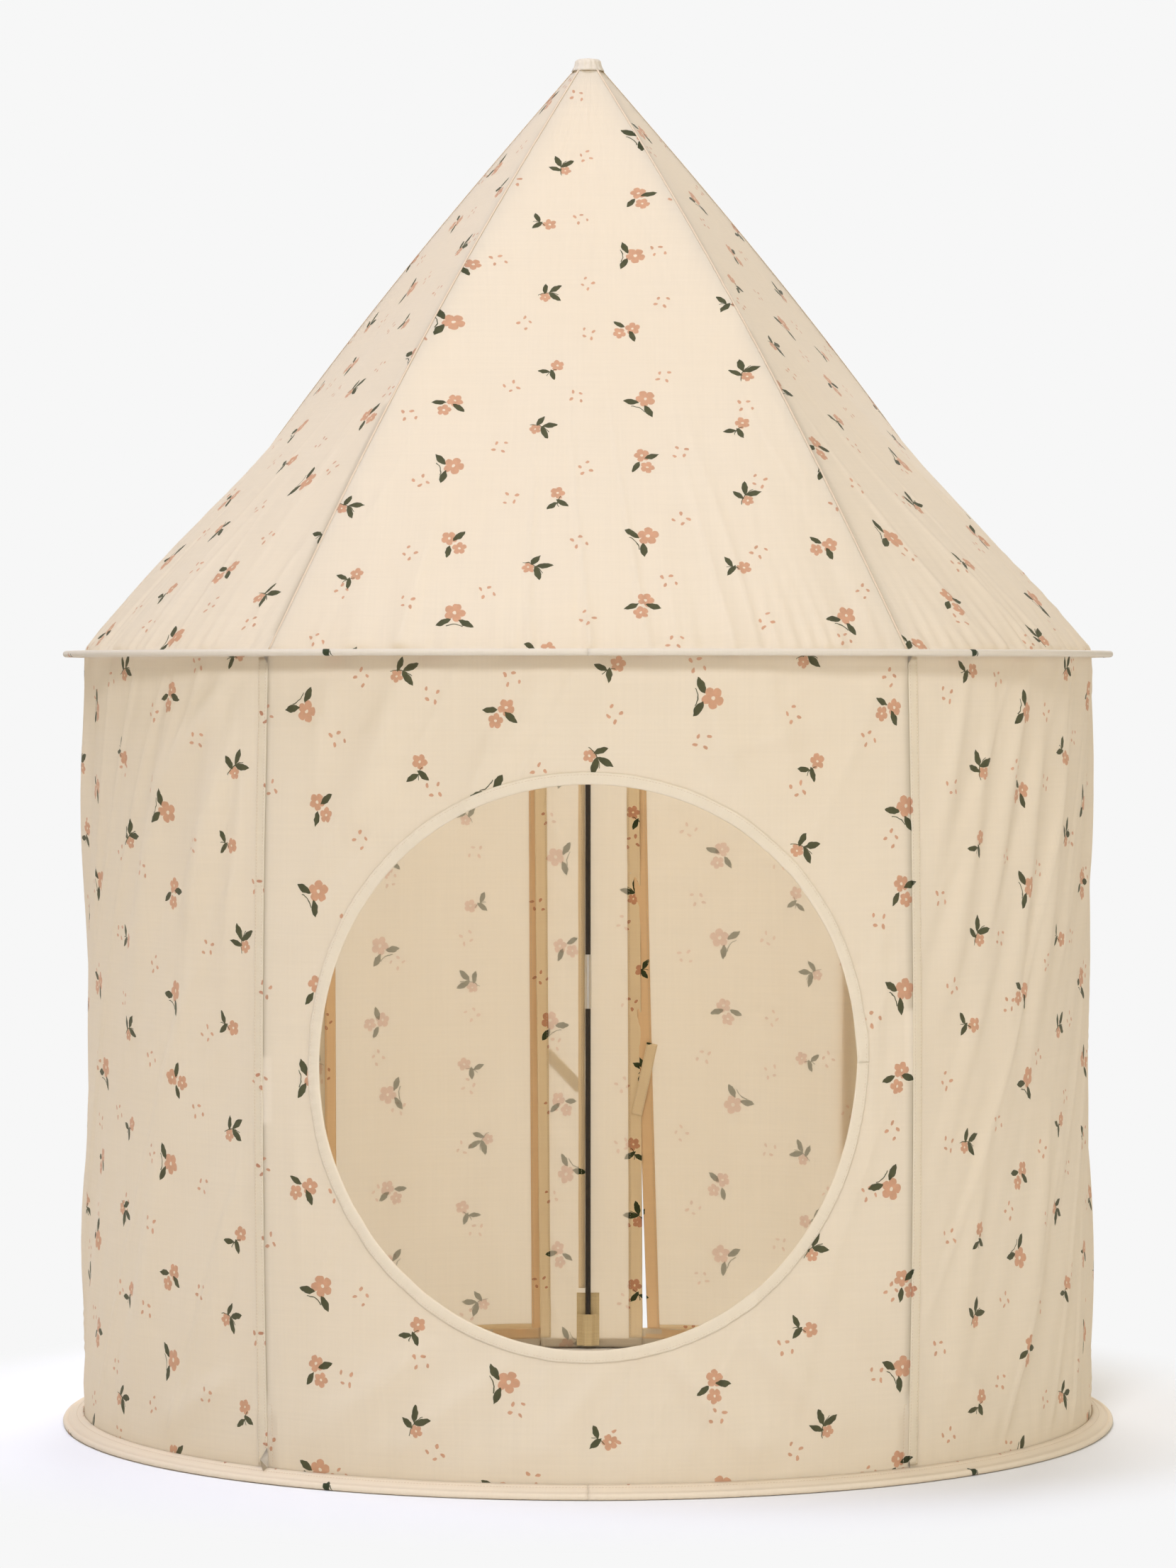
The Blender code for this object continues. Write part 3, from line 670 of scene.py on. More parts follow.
def stitch_row(name, points, normals, body):
    """A row of short threads along the points, each sunk at both ends, riding on the body;
    normals is one direction for each point or one for all of them."""
    if isinstance(normals, Vector):
        normals = [normals] * len(points)
    bm = bmesh.new()
    marks = [0.0]
    for first, second in zip(points, points[1:]):
        marks.append(marks[-1] + (second - first).length)
    index = 0

    def at(distance):
        nonlocal index
        while index < len(marks) - 2 and marks[index + 1] < distance:
            index += 1
        share = (distance - marks[index]) / max(marks[index + 1] - marks[index], 1e-9)
        return points[index].lerp(points[index + 1], share), normals[index]

    for number in range(int(marks[-1] / STITCH)):
        near, normal = at((number + 0.14) * STITCH)
        far, normal = at((number + 0.86) * STITCH)
        across = (far - near).normalized().cross(normal).normalized()
        rings = []
        for share, rise, fat in ((0, -0.5, 0.5), (0.22, 0.5, 1), (0.78, 0.5, 1), (1, -0.5, 0.5)):
            middle = near.lerp(far, share) + normal * THREAD_R * rise
            ring = []
            for side in range(SIDES):
                turn = 2 * math.pi * side / SIDES
                offset = across * math.cos(turn) + normal * math.sin(turn)
                ring.append(bm.verts.new(middle + offset * THREAD_R * fat))
            rings.append(ring)
        add_tube(bm, rings)
        bm.faces.new(rings[0][::-1])
        bm.faces.new(rings[-1])
    bmesh.ops.recalc_face_normals(bm, faces=bm.faces)
    piece = object_from(bm, name, thread)
    if body:
        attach(piece, body)
    return piece


binding_turns = even(0, 2 * math.pi, math.radians(0.55))
binding = sheet_of_cloth(
    "window_binding_tape",
    range(len(TAPE_FOLD)),
    binding_turns,
    binding_point,
    lambda step, turn: (TAPE_FOLD[step][0] * (1 if step < 7 else -1) + 3, turn * WINDOW_R),
    tape,
)
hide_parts("window_binding")
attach(binding, "tent")
line = [round_window(turn, TAPE_SEWN, 0.0013) for turn in binding_turns]
lean = [polar(math.degrees(p.x / CLOTH_R), 1, 0) for p in line]
binding_stitches = stitch_row("window_binding_stitches", line, lean, "tent")
inner_line = [round_window(turn, TAPE_SEWN, -0.0013) for turn in binding_turns]
inner_lean = [-normal for normal in lean]
binding_inner_stitches = stitch_row(
    "window_binding_inner_stitches", inner_line, inner_lean, "tent"
)

# The two side panels run from the front poles past the side poles to the doorways. The pull
# of the poles draws long folds fanning down from the top of each seam.
LEFT_FOLDS = (
    (-0.335, 0.75, -0.42, 0.50, 0.014, 0.0036),
    (-0.330, 0.76, -0.37, 0.42, 0.010, 0.0028),
    (-0.350, 0.755, -0.48, 0.62, 0.015, 0.0034),
    (-0.370, 0.74, -0.46, 0.28, 0.017, 0.0032),
    (-0.345, 0.10, -0.47, 0.03, 0.014, 0.0026),
    (-0.340, 0.30, -0.42, 0.06, 0.013, 0.0022),
    (-0.430, 0.75, -0.55, 0.40, 0.018, 0.0032),
    (-0.450, 0.40, -0.53, 0.05, 0.018, 0.0026),
    (-0.700, 0.75, -0.78, 0.45, 0.020, 0.0028),
    (-0.720, 0.28, -0.82, 0.06, 0.018, 0.0024),
    (-0.860, 0.74, -0.93, 0.50, 0.016, 0.0022),
)
RIGHT_FOLDS = (
    (0.395, 0.755, 0.335, 0.55, 0.012, 0.0028),
    (0.440, 0.755, 0.350, 0.42, 0.014, 0.0034),
    (0.490, 0.755, 0.380, 0.36, 0.015, 0.0032),
    (0.530, 0.74, 0.430, 0.26, 0.018, 0.0034),
    (0.600, 0.75, 0.490, 0.34, 0.018, 0.0032),
    (0.430, 0.34, 0.360, 0.06, 0.015, 0.0024),
    (0.345, 0.12, 0.450, 0.03, 0.014, 0.0024),
    (0.560, 0.34, 0.470, 0.05, 0.018, 0.0026),
    (0.760, 0.75, 0.690, 0.45, 0.020, 0.0028),
    (0.820, 0.30, 0.730, 0.06, 0.018, 0.0024),
    (0.920, 0.74, 0.850, 0.45, 0.016, 0.0022),
)
JAMB = 114.483
wall_heights = [0, 0.004, 0.0078] + even(HEM_RISE, EAVE - HEAD_GAP, 0.0052) + [EAVE]
side_panels = []
for side, folds, seed in (("right", RIGHT_FOLDS, 5.2), ("left", LEFT_FOLDS, 3.2)):
    azimuths = even(HALF_PANEL + SEAM_HALF, JAMB, 0.45)
    azimuths = azimuths if side == "right" else [-a for a in reversed(azimuths)]

    def side_point(azimuth, height, folds=folds, seed=seed):
        return wall_surface(azimuth, height, folds, seed, 1.0)

    panel = sheet_of_cloth(
        f"side_panel_{side}_cloth", azimuths, wall_heights, side_point, cloth_uv, *BOTH_SIDES
    )
    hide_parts(f"side_panel_{side}")
    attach(panel, "tent")
    side_panels.append((panel, side, side_point))

# The narrow strip of wall behind the rear pole, between the two doorways.
STRIP_RIGHT = 173.7
STRIP_LEFT = 186.824


def strip_surface(azimuth, height):
    """The strip's cloth; both its edges lean a little to the right towards the floor."""
    drop = 1 - height / EAVE
    lean = 0.9 * max(azimuth - 181, 0) / (STRIP_LEFT - 181)
    lean += 0.5 * max(179 - azimuth, 0) / (179 - STRIP_RIGHT)
    return wall_surface(azimuth - lean * drop, height, (), 9.1, 0.95)


strip = sheet_of_cloth(
    "rear_strip_cloth",
    even(STRIP_RIGHT, STRIP_LEFT, 0.5),
    wall_heights,
    strip_surface,
    cloth_uv,
    *BOTH_SIDES,
)
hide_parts("rear_strip")
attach(strip, "tent")

# The two sills: a doubled strip of cotton, folded at its top edge, that ties the hem together
# across each doorway. Its outer face is the cotton's right side.
SILL_TOP = 0.022
# The sills' cotton lets light through, and the deeper tan of light through the doubled cloth is
# also painted into its colour as painted backlight; the outer faces are the plain printed
# cotton.
doubled_painted_backlight = cotton("doubled_cotton", 1.0, base=(0.96, 0.78, 0.55), through=0.68)
sill_side = [(z, 1) for z in (0.004, 0.0078, HEM_RISE, 0.013, 0.016, 0.019, 0.0214)]
SILL_FOLD = [(0, 1)] + sill_side + [(SILL_TOP, 0)] + [(z, -1) for z, _ in sill_side[:1:-1]]


def outer_cotton(piece, is_outer):
    """Gives the faces for which is_outer says so the cotton's right side."""
    piece.data.materials.append(cotton_face)
    for face in piece.data.polygons:
        if is_outer(face):
            face.material_index = 1


def sill_point(azimuth, step):
    height, side = SILL_FOLD[step]
    wave = 0.0006 * uneven(azimuth * 0.6, 3.3, 0) * height / SILL_TOP
    rise = 0.0005 * uneven(azimuth * 0.4, 7.7, 0) * height / SILL_TOP
    turn_in = Vector((0, 0, rise)) + polar(azimuth, 0.0004 * side + wave, 0)
    return wall_surface(azimuth, height, (), 2.2) + turn_in


for side, first, last in (
    ("right", JAMB + SEAM_HALF * 2, STRIP_RIGHT - 0.5),
    ("left", STRIP_LEFT - 0.9 + SEAM_HALF * 2, 360 - JAMB - SEAM_HALF * 2),
):
    sill = sheet_of_cloth(
        f"door_sill_{side}_cloth",
        even(first, last, 0.5),
        range(len(SILL_FOLD)),
        sill_point,
        lambda azimuth, step: cloth_uv(azimuth, step * 0.004),
        doubled_painted_backlight,
    )
    outer_cotton(
        sill, lambda face: face.center.xy.length > CLOTH_R and face.center.z < SILL_TOP - 0.0004
    )
    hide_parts(f"door_sill_{side}")
    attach(sill, "tent")

# The bound free edges beside the doorways: a band of the same cotton folded over the edge and
# sewn down, so that three layers lie there and less light comes through. Here the bands let no
# light through, and the tan of light through three layers is painted into their colour as
# painted backlight.
BAND = 0.0135
BAND_FOLD = folded([(BAND, 1), (0.010, 1.1), (0.006, 1.15), (0.003, 1.1), (0.001, 0.8), (0, 0)])
TRIM = 0.0003
# Painted backlight: a deep tan that stands for light through the layers, with no light let
# through.
bound_painted_backlight = cotton("bound_edge_cotton_painted_backlight", 1.0, base=(1.0, 0.80, 0.535), through=0)
# A darker copy of the same cotton: painted backlight with painted shade, for the jamb and
# curtain bands.
bound_painted_shade = cotton("bound_edge_painted_shade", 1.0, base=(0.97, 0.68, 0.40), through=0)


def edge_band(name, edge, inward, heights, surface, body, cloth=bound_painted_backlight):
    """A folded band over a vertical edge; inward is the side on which the cloth lies."""
    share = math.degrees(1 / CLOTH_R) * inward

    def place(step, height):
        out, lift = BAND_FOLD[step]
        bulge = 0.00018 * puckered(height, edge * 0.37) * min(1, out / 0.006)
        push = lift * 0.00055 + (bulge if lift > 0 else -bulge)
        azimuth = edge + (out - 0.0004) * share
        return surface(azimuth, height) + polar(azimuth, push, 0)

    band = sheet_of_cloth(
        name,
        range(len(BAND_FOLD))[::-inward],
        heights,
        place,
        lambda step, height: cloth_uv(edge + BAND_FOLD[step][0] * share, height),
        cloth,
        thickness=TRIM,
    )
    outer_cotton(band, lambda face: face.normal.dot(polar(edge, 1, 0)) > 0)
    if body:
        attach(band, body)
    azimuth = edge + (BAND - 0.002) * share
    lines = []
    for label, lift in (("outer", 0.00105), ("inner", -0.00105)):
        points = [surface(azimuth, height) + polar(azimuth, lift, 0) for height in heights]
        lean = polar(azimuth, math.copysign(1, lift), 0)
        lines.append(stitch_row(f"{name}_{label}_stitches", points, lean, body))
    return [band, *lines]


band_heights = even(HEM_RISE + 0.001, EAVE - 0.006, 0.0045)
for panel, side, surface in side_panels:
    inward = -1 if side == "right" else 1
    # The jamb bands wear the darker copy, with its painted shade.
    bands = edge_band(
        f"jamb_band_{side}", -inward * JAMB, inward, band_heights, surface, "tent", bound_painted_shade
    )

# Inside the strip, just beside the rear pole, the allowance of its middle seam lies pressed
# to one side, so a narrow band of three layers shows there; its tan is painted into its colour
# as painted backlight.
ALLOWANCE = ((0.38, 0.0003), (0.41, 0.0007), (0.80, 0.0009), (1.17, 0.0007), (1.20, 0.0003))
allowance_heights = even(0.066, EAVE - 0.006, 0.0045)


def allowance_point(step, height):
    beside, inward = ALLOWANCE[step]
    wander = 0.04 * uneven(height * 18, 6.1, step * 0.1)
    inward += 0.0002 * puckered(height, 8.8)
    azimuth = 180 + beside + wander
    return strip_surface(azimuth, height) - polar(azimuth, inward, 0)


allowance = sheet_of_cloth(
    "rear_seam_allowance",
    range(len(ALLOWANCE)),
    allowance_heights,
    allowance_point,
    lambda step, height: cloth_uv(180 + ALLOWANCE[step][0], height),
    bound_painted_backlight,
    thickness=TRIM,
)
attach(allowance, "tent")
points = [allowance_point(2, height) - polar(180.8, 0.0004, 0) for height in allowance_heights]
allowance_row = stitch_row(
    "rear_seam_allowance_stitches", points, -polar(180.8, 1, 0), "tent"
)
strip_bands = [allowance, allowance_row]
strip_bands += edge_band("strip_band_right", STRIP_RIGHT, 1, band_heights, strip_surface, "tent")
strip_bands += edge_band("strip_band_left", STRIP_LEFT, -1, band_heights, strip_surface, "tent")

# The four curtains hang from the eave's seam, two to a doorway, in soft upright folds that
# deepen towards their free lower edge. Both upright edges are bound and the foot is hemmed.
CURTAIN_TOP = 0.76315
CURTAIN_FOOT = 0.016
HEM_FOLD = [(0.010, 0.00055), (0.007, 0.0006), (0.003, 0.00055), (0, 0.0003)]
HEM_FOLD += [(up, -lift) for up, lift in reversed(HEM_FOLD)]


def curtain_surface(azimuth, height, radius, seed, free_edge, top_shift, foot_shift):
    """A point on a curtain; its free edge hangs a little askew, by a shift in degrees."""
    drop = clamp((CURTAIN_TOP - height) / (CURTAIN_TOP - CURTAIN_FOOT))
    soft = drop**0.8
    shift = top_shift + (foot_shift - top_shift) * drop**1.4
    azimuth += shift * max(0, 1 - abs(azimuth - free_edge) / 14) ** 1.5
    wander = 9 * uneven(height * 1.3, seed, 0.4)
    fold = 0.0015 * soft * math.sin(2 * math.pi * (azimuth + wander * 0.12) / 11)
    loose = 0.0007 * soft * uneven(azimuth * 0.35, height * 2.2, seed)
    gather = 0.0003 * math.exp(-(CURTAIN_TOP - height) / 0.02) * math.sin(azimuth * 3.1)
    return polar(azimuth, radius + fold + loose + gather, height)


curtain_rows = [CURTAIN_FOOT] + even(CURTAIN_FOOT + 0.002, CURTAIN_TOP - 0.0003, 0.0068)
for name, first, last, *askew in (
    ("curtain_right_far", 113.687, 147.0, 0.51475, 1.0, 147.0, 0, 0.5),
    ("curtain_right_near", 135.0, 172.948, 0.50875, 1.0, 172.948, 1.7, -0.5),
    ("curtain_left_near", 186.027, 225.0, 0.51475, 2.0, 186.027, -0.2, -0.7),
    ("curtain_left_far", 213.0, 246.313, 0.50875, 2.0, 213.0, 0, -0.5),
):
    radius = askew[0]
    hinge = polar((first + last) / 2, radius, CURTAIN_TOP)

    def hung(azimuth, height, askew=askew):
        return curtain_surface(azimuth, height, *askew)

    def hem_point(azimuth, step, hung=hung):
        up, lift = HEM_FOLD[step]
        return hung(azimuth, CURTAIN_FOOT + up) + polar(azimuth, lift, 0)

    curtain = sheet_of_cloth(
        f"{name}_cloth",
        even(first + 0.1, last - 0.1, 0.42),
        curtain_rows,
        hung,
        cloth_uv,
        *BOTH_SIDES,
    )
    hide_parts(name)
    # The foot hem wears the bands' cotton with its painted backlight.
    hem = sheet_of_cloth(
        f"{name}_foot_hem",
        even(first + 1.3, last - 1.3, 0.5),
        range(len(HEM_FOLD)),
        hem_point,
        lambda azimuth, step: cloth_uv(azimuth, step * 0.003),
        bound_painted_backlight,
        thickness=TRIM,
    )
    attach(hem, name)
    # The curtain bands wear the darker copy, with its painted shade.
    bands = edge_band(f"{name}_first_band", first, 1, curtain_rows, hung, None, bound_painted_shade)
    bands += edge_band(f"{name}_last_band", last, -1, curtain_rows, hung, None, bound_painted_shade)
    for piece in (curtain, *bands):
        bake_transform(piece)

# The roof: five gores of the same cotton, sewn together over the poles. Each is drawn tight at
# its two seams and at the point, and is eased into the eave's casing, so it puckers there and
# hangs in broad soft folds above, which fade out half way up.
ROOF_FOOT = Vector((CLOTH_R, EAVE + CLOTH))
ROOF_POINT = Vector((0, 1.368))
ROOF_BOW = 0.015
TIP_R = 0.0125
GORE_TOP = 1 - TIP_R / CLOTH_R
roof_line = ROOF_POINT - ROOF_FOOT
roof_out = Vector((roof_line.y, -roof_line.x)).normalized()


def smooth_step(value):
    value = clamp(value)
    return value * value * (3 - 2 * value)


def roof_surface(azimuth, share, middle, seed):
    """A point on the roof cloth with its folds, from 0 at the eave to 1 at the point."""
    if share < 0:
        return polar(azimuth, CLOTH_R + SLOT_REACH, EAVE + CLOTH)
    ridge = ROOF_FOOT.lerp(ROOF_POINT, share) + roof_out * ROOF_BOW * math.sin(math.pi * share)
    off_middle = azimuth - middle
    radius = ridge.x * (1 - 0.95 * smooth_step(share / 0.6) * (1 - straight(off_middle)))
    u = math.radians(off_middle) * CLOTH_R
    v = share * roof_line.length
    from_seam = (HALF_PANEL - abs(off_middle)) * math.radians(1) * max(radius, 0.01)
    held = min(1, from_seam / 0.035) ** 0.8 * min(1, v / 0.006)
    slack = 1 - smooth_step(share / 0.5)
    fan = u * (1 - 0.4 * share) + 0.10 * v
    lift = 0.0045 * slack * uneven(fan * 9, v * 1.5, seed)
    line = uneven(fan * 17, v * 1.6, seed + 8)
    lift += 0.0026 * slack * max(0, 1 - 7 * abs(line)) ** 1.5
    eased = math.sin(u * 330 + 4 * uneven(u * 14, seed, 1) + 1.5 * seed)
    lift += 0.0018 * eased * math.exp(-v / 0.045) * (0.5 + uneven(u * 21, 2, seed))
    lift += 0.0034 * uneven(fan * 34, v * 4, seed + 4) * math.exp(-v / 0.16)
    lift += 0.00022 * uneven(u * 60, v * 45, seed)
    lift *= held
    return polar(azimuth, radius + lift * roof_out.x, ridge.y + lift * roof_out.y)


gore_shares = [-1] + [GORE_TOP * (i / 120) ** 1.25 for i in range(121)]
for number, name in enumerate(("front", "right", "rear_right", "rear_left", "left")):
    middle = number * 2 * HALF_PANEL

    def gore_place(offset, share, middle=middle, seed=number * 2.3 + 0.7):
        radius = max(CLOTH_R * (1 - max(share, 0)), TIP_R)
        edge = 1 - math.degrees(SEAM_GAP / radius) / HALF_PANEL
        return roof_surface(middle + offset * edge, share, middle, seed)

    def gore_shade(offset, share, name=name):
        # Painted pole shade beside the front seams on the two side gores; on the left it is
        # weaker above the ferrule.
        if share < 0 or name not in ("left", "right"):
            return 0
        edge = HALF_PANEL - offset if name == "left" else HALF_PANEL + offset
        beside = math.radians(edge) * CLOTH_R * (1 - share)
        ferrule = POLES[f"front_{name}"][2]
        along = share * roof_line.length
        strength = 0.6 if name == "right" else 0.8 if along < ferrule else 0.35
        return rod_shade(beside, along, ferrule, 0.02, 0.74) * strength

    def gore_uv(offset, share, number=number):
        width = math.radians(offset) * CLOTH_R * (1 - max(share, 0))
        return (width + 5.07 + number * 0.63, share * roof_line.length + 1.04 * number)

    gore = sheet_of_cloth(
        f"roof_gore_{name}_cloth",
        even(-HALF_PANEL, HALF_PANEL, 0.36),
        gore_shares,
        gore_place,
        gore_uv,
        *BOTH_SIDES,
        shade=gore_shade,
    )
    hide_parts(f"roof_gore_{name}")
    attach(gore, "tent")

# The eave's casing: bias tape folded round the sprung hoop and closed on both sides of the
# roof and the wall. It bulges a little between its stitches.
HOOP_R = 0.522117
FLANGE_R = 0.5047
EAVE_TUBE = 0.00295
casing_tape = cotton("casing_tape", 1.0, base=(0.88, 0.79, 0.64), through=0.3)


def ring_of_tape(name, node, height, profile, bulge, twist, material):
    """A folded tape's profile (out, up, share of the bulge) swept round the tent."""

    def place(step, azimuth):
        out, up, loose = profile[step]
        along = math.radians(azimuth) * HOOP_R
        swell = bulge * loose * (puckered(along, twist) + 0.4)
        sway = 0.0003 * uneven(math.sin(along * 2) * 9, math.cos(along * 2) * 9, twist)
        length = math.hypot(out, up) or 1
        radius = HOOP_R + out + swell * out / length
        return polar(azimuth, radius, height + up + swell * up / length + sway * loose * 0.3)

    run = [0.0]
    for (x0, z0, _), (x1, z1, _) in zip(profile, profile[1:]):
        run.append(run[-1] + math.hypot(x1 - x0, z1 - z0))
    ring = sheet_of_cloth(
        name,
        range(len(profile)),
        even(0, 360, 0.42),
        place,
        lambda step, azimuth: (run[step], math.radians(azimuth) * HOOP_R),
        material,
    )
    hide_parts(node)
    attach(ring, "tent")


def turned(radius, first, last):
    """The profile's points round the hoop, every 15 degrees."""
    turns = [math.radians(a) for a in even(first, last, 15)]
    return [(radius * math.cos(turn), radius * math.sin(turn), 0.6) for turn in turns]


upper_flange = [(FLANGE_R - HOOP_R, 0.0015, 0), (-0.0140, 0.0015, 0.3)]
upper_flange += [(-0.0100, 0.0014, 0.5), (-0.0065, 0.0013, 0.4)]
lower_flange = [(out, -up, loose) for out, up, loose in reversed(upper_flange)]
profile = upper_flange + turned(EAVE_TUBE, 151, -151) + lower_flange
ring_of_tape("eave_casing_tape", "eave_casing", EAVE, profile, 0.00018, 1.1, casing_tape)
for label, side in (("upper", 1), ("lower", -1)):
    points = [polar(a, HOOP_R - 0.0085, EAVE + side * 0.00195) for a in even(0, 360, 0.5)]
    lean = Vector((0, 0, side))
    stitch_row(f"eave_casing_{label}_stitches", points, lean, "tent")

# The base hem: a wider bound tape round the lower hoop, leaning up to the wall's foot.
HEM_CENTRE = 0.002883
HEM_TUBE = 0.00270
hem_tape = cotton("hem_tape", 1.0, base=(0.98, 0.845, 0.655), through=0.3)
hem_lean = math.atan2(HEM_RISE - HEM_CENTRE, HOOP_R - CLOTH_R)
hem_out = Vector((math.sin(hem_lean), math.cos(hem_lean)))
reach = (HOOP_R - FLANGE_R) / math.cos(hem_lean)


def leaning(along, off):
    """A point along the leaning flange from the hoop, and off its middle."""
    return (
        -along * math.cos(hem_lean) + off * math.sin(hem_lean),
        along * math.sin(hem_lean) + off * math.cos(hem_lean),
    )


outer = ((reach, 0.2), (0.015, 1), (0.011, 1.2), (0.0075, 0.8))
inner = ((0.0075, 0.3), (0.011, 0.3), (0.015, 0.3), (reach, 0))
profile = [(*leaning(along, 0.0011), loose) for along, loose in outer]
profile += turned(HEM_TUBE, 139, -183)
profile += [(*leaning(along, -0.0011), loose) for along, loose in inner]
ring_of_tape("base_hem_tape", "base_hem", HEM_CENTRE, profile, 0.00028, 2.6, hem_tape)
out, up = leaning(0.0125, 0.0019)
azimuths = even(0, 360, 0.5)
points = [polar(azimuth, HOOP_R + out, HEM_CENTRE + up) for azimuth in azimuths]
lean = [polar(azimuth, *hem_out) for azimuth in azimuths]
stitch_row("base_hem_stitches", points, lean, "tent")

# The seams over the poles: the side panel's edge is folded over the front panel's and sewn
# down flat with two rows, and the row of stitches draws the cloth up into small puckers. On
# the roof the same seam is a narrow rolled edge of a deeper cream.
felled = cotton("felled_seam", 1.0, base=(0.94, 0.845, 0.665), through=0.45)
seam_line = cotton("rolled_seam", 0, base=(0.84, 0.68, 0.49), through=0.2, pitch=0.0011)
FELL = 0.0105
# Each step across the seam: out from the pole, and how far it stands off the wall.
FELL_STEPS = ((-0.0009, 0.0005), (-0.0005, 0.00065), (0.002, 0.0008), (0.005, 0.0008))
FELL_STEPS += ((0.008, 0.00065), (FELL - 0.0004, 0.0005), (FELL, 0.0003))
seam_heights = even(HEM_RISE + 0.003, EAVE - 0.0045, 0.0035)
for name, over in (("front_left", -1), ("front_right", 1), ("side_left", 1), ("side_right", -1)):
    pole = POLES[name][0]
    degree = math.degrees(1 / CLOTH_R) * over

    def fell_point(step, height, pole=pole, degree=degree):
        out, rise = FELL_STEPS[step]
        bulge = 0.0005 * puckered(height, pole) * math.sin(math.pi * max(out, 0) / FELL)
        azimuth = pole + out * degree
        return wall_surface(azimuth, height) + polar(azimuth, rise + bulge, 0)

    fell = sheet_of_cloth(
        f"{name}_felled_seam",
        range(len(FELL_STEPS))[::over],
        seam_heights,
        fell_point,
        lambda step, height, pole=pole, over=over: cloth_uv(pole + 0.2 * step * over, height),
        felled,
        thickness=TRIM,
    )
    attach(fell, "tent")
    for label, out in (("near", 0.0012), ("far", 0.0088)):
        azimuth = pole + out * degree
        lifted = polar(azimuth, 0.0009, 0)
        points = [wall_surface(azimuth, height) + lifted for height in seam_heights]
        lean = polar(azimuth, 1, 0)
        stitch_row(f"{name}_seam_{label}_stitches", points, lean, "tent")

# A row of stitches beside the foot of each front pole holds its pocket through the wall.
foot_path = [(0.0066, height) for height in even(HEM_RISE + 0.003, 0.070, 0.003)]
foot_path += [(out, 0.0705) for out in (0.0060, 0.0040, 0.0020, 0.0005)]
for name, over in (("front_left", 1), ("front_right", -1)):
    points = []
    lean = []
    for out, height in foot_path:
        azimuth = POLES[name][0] + math.degrees(out / CLOTH_R) * over
        points.append(wall_surface(azimuth, height) + polar(azimuth, SEAM_GAP, 0))
        lean.append(polar(azimuth, 1, 0))
    stitch_row(f"{name}_foot_stitches", points, lean, "tent")

# Each step across a roof seam: beside the pole's line, and off the roof, in mm.
RIDGE_STEPS = ((-1.1, -0.1), (-0.9, 0.4), (0, 0.7), (0.9, 0.4), (1.1, -0.1))
POLE_ROUND = ("front_right", "side_right", "rear", "side_left", "front_left")
for number, name in enumerate(POLE_ROUND):
    azimuth = HALF_PANEL + number * 2 * HALF_PANEL

    def ridge_point(step, share, azimuth=azimuth):
        side, rise = RIDGE_STEPS[step]
        base = roof_surface(azimuth, share, azimuth - HALF_PANEL, 0)
        out = polar(azimuth, roof_out.x, roof_out.y)
        along = polar(azimuth + 90, 1, 0)
        wander = 0.0002 * uneven(share * 60, azimuth, 0)
        return base + out * rise / 1000 + along * (side / 1000 + wander)

    ridge = sheet_of_cloth(
        f"{name}_roof_seam",
        range(len(RIDGE_STEPS)),
        even(0.004, GORE_TOP - 0.002, 0.006),
        ridge_point,
        lambda step, share: (step * 0.0008, share * 0.787),
        seam_line,
        thickness=TRIM,
    )
    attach(ridge, "tent")

# The cap at the point: a scrap of the same cotton gathered over the pole tips and bound. Its
# profile runs down from the top: the radius and the drop, in mm.
CAP_TOP = 1.364
CAP_PROFILE = ((0, 0.6), (4, 0.5), (8, 0.6), (10.8, 1.2), (12.6, 3.0), (13.1, 5.5))
CAP_PROFILE += ((13.6, 8.0), (15.0, 10.5), (16.3, 12.8))


def cap_point(azimuth, step):
    radius, drop = (measure / 1000 for measure in CAP_PROFILE[step])
    turn = math.radians(azimuth)
    lump = 0.0007 * uneven(math.sin(turn) * 2, math.cos(turn) * 2, step) * min(1, radius / 0.008)
    tuck = 0.0003 * math.sin(turn * 15) * min(1, radius / 0.012)
    return polar(azimuth, radius + lump + tuck, CAP_TOP - drop - abs(lump) * 0.4)


cap = sheet_of_cloth(
    "apex_cap_cloth",
    even(0, 360, 4),
    range(len(CAP_PROFILE))[::-1],
    cap_point,
    lambda azimuth, step: (math.radians(azimuth) * 0.015 + 9, step * 0.002),
    casing_tape,
)
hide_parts("apex_cap")
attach(cap, "tent")

# The five foot pockets: ribbed khaki webbing folded up in front of a taller back strap and
# stitched at its sides, with the pole's foot standing in the fold.
webbing = bpy.data.materials.new("khaki_webbing")
make = Wiring(webbing)
ribs, slub = weave(make, make.add("UVMap", uv_map="cloth"), 0.0021)
inputs = {"Base Color": make.tint(slub, (0.66, 0.50, 0.25), (0.93, 0.78, 0.49))}
inputs |= {"Normal": make.bump(ribs, 0.8, 0.0003), "Roughness": 0.75, "Sheen Weight": 0.25}
make.principled(inputs)
BACK_TOP = 0.061
HALF_WEBBING = 0.0125
POCKET_DEPTH = 0.008
pocket_back = CLOTH_R - 0.00115
pocket_front = 0.49536
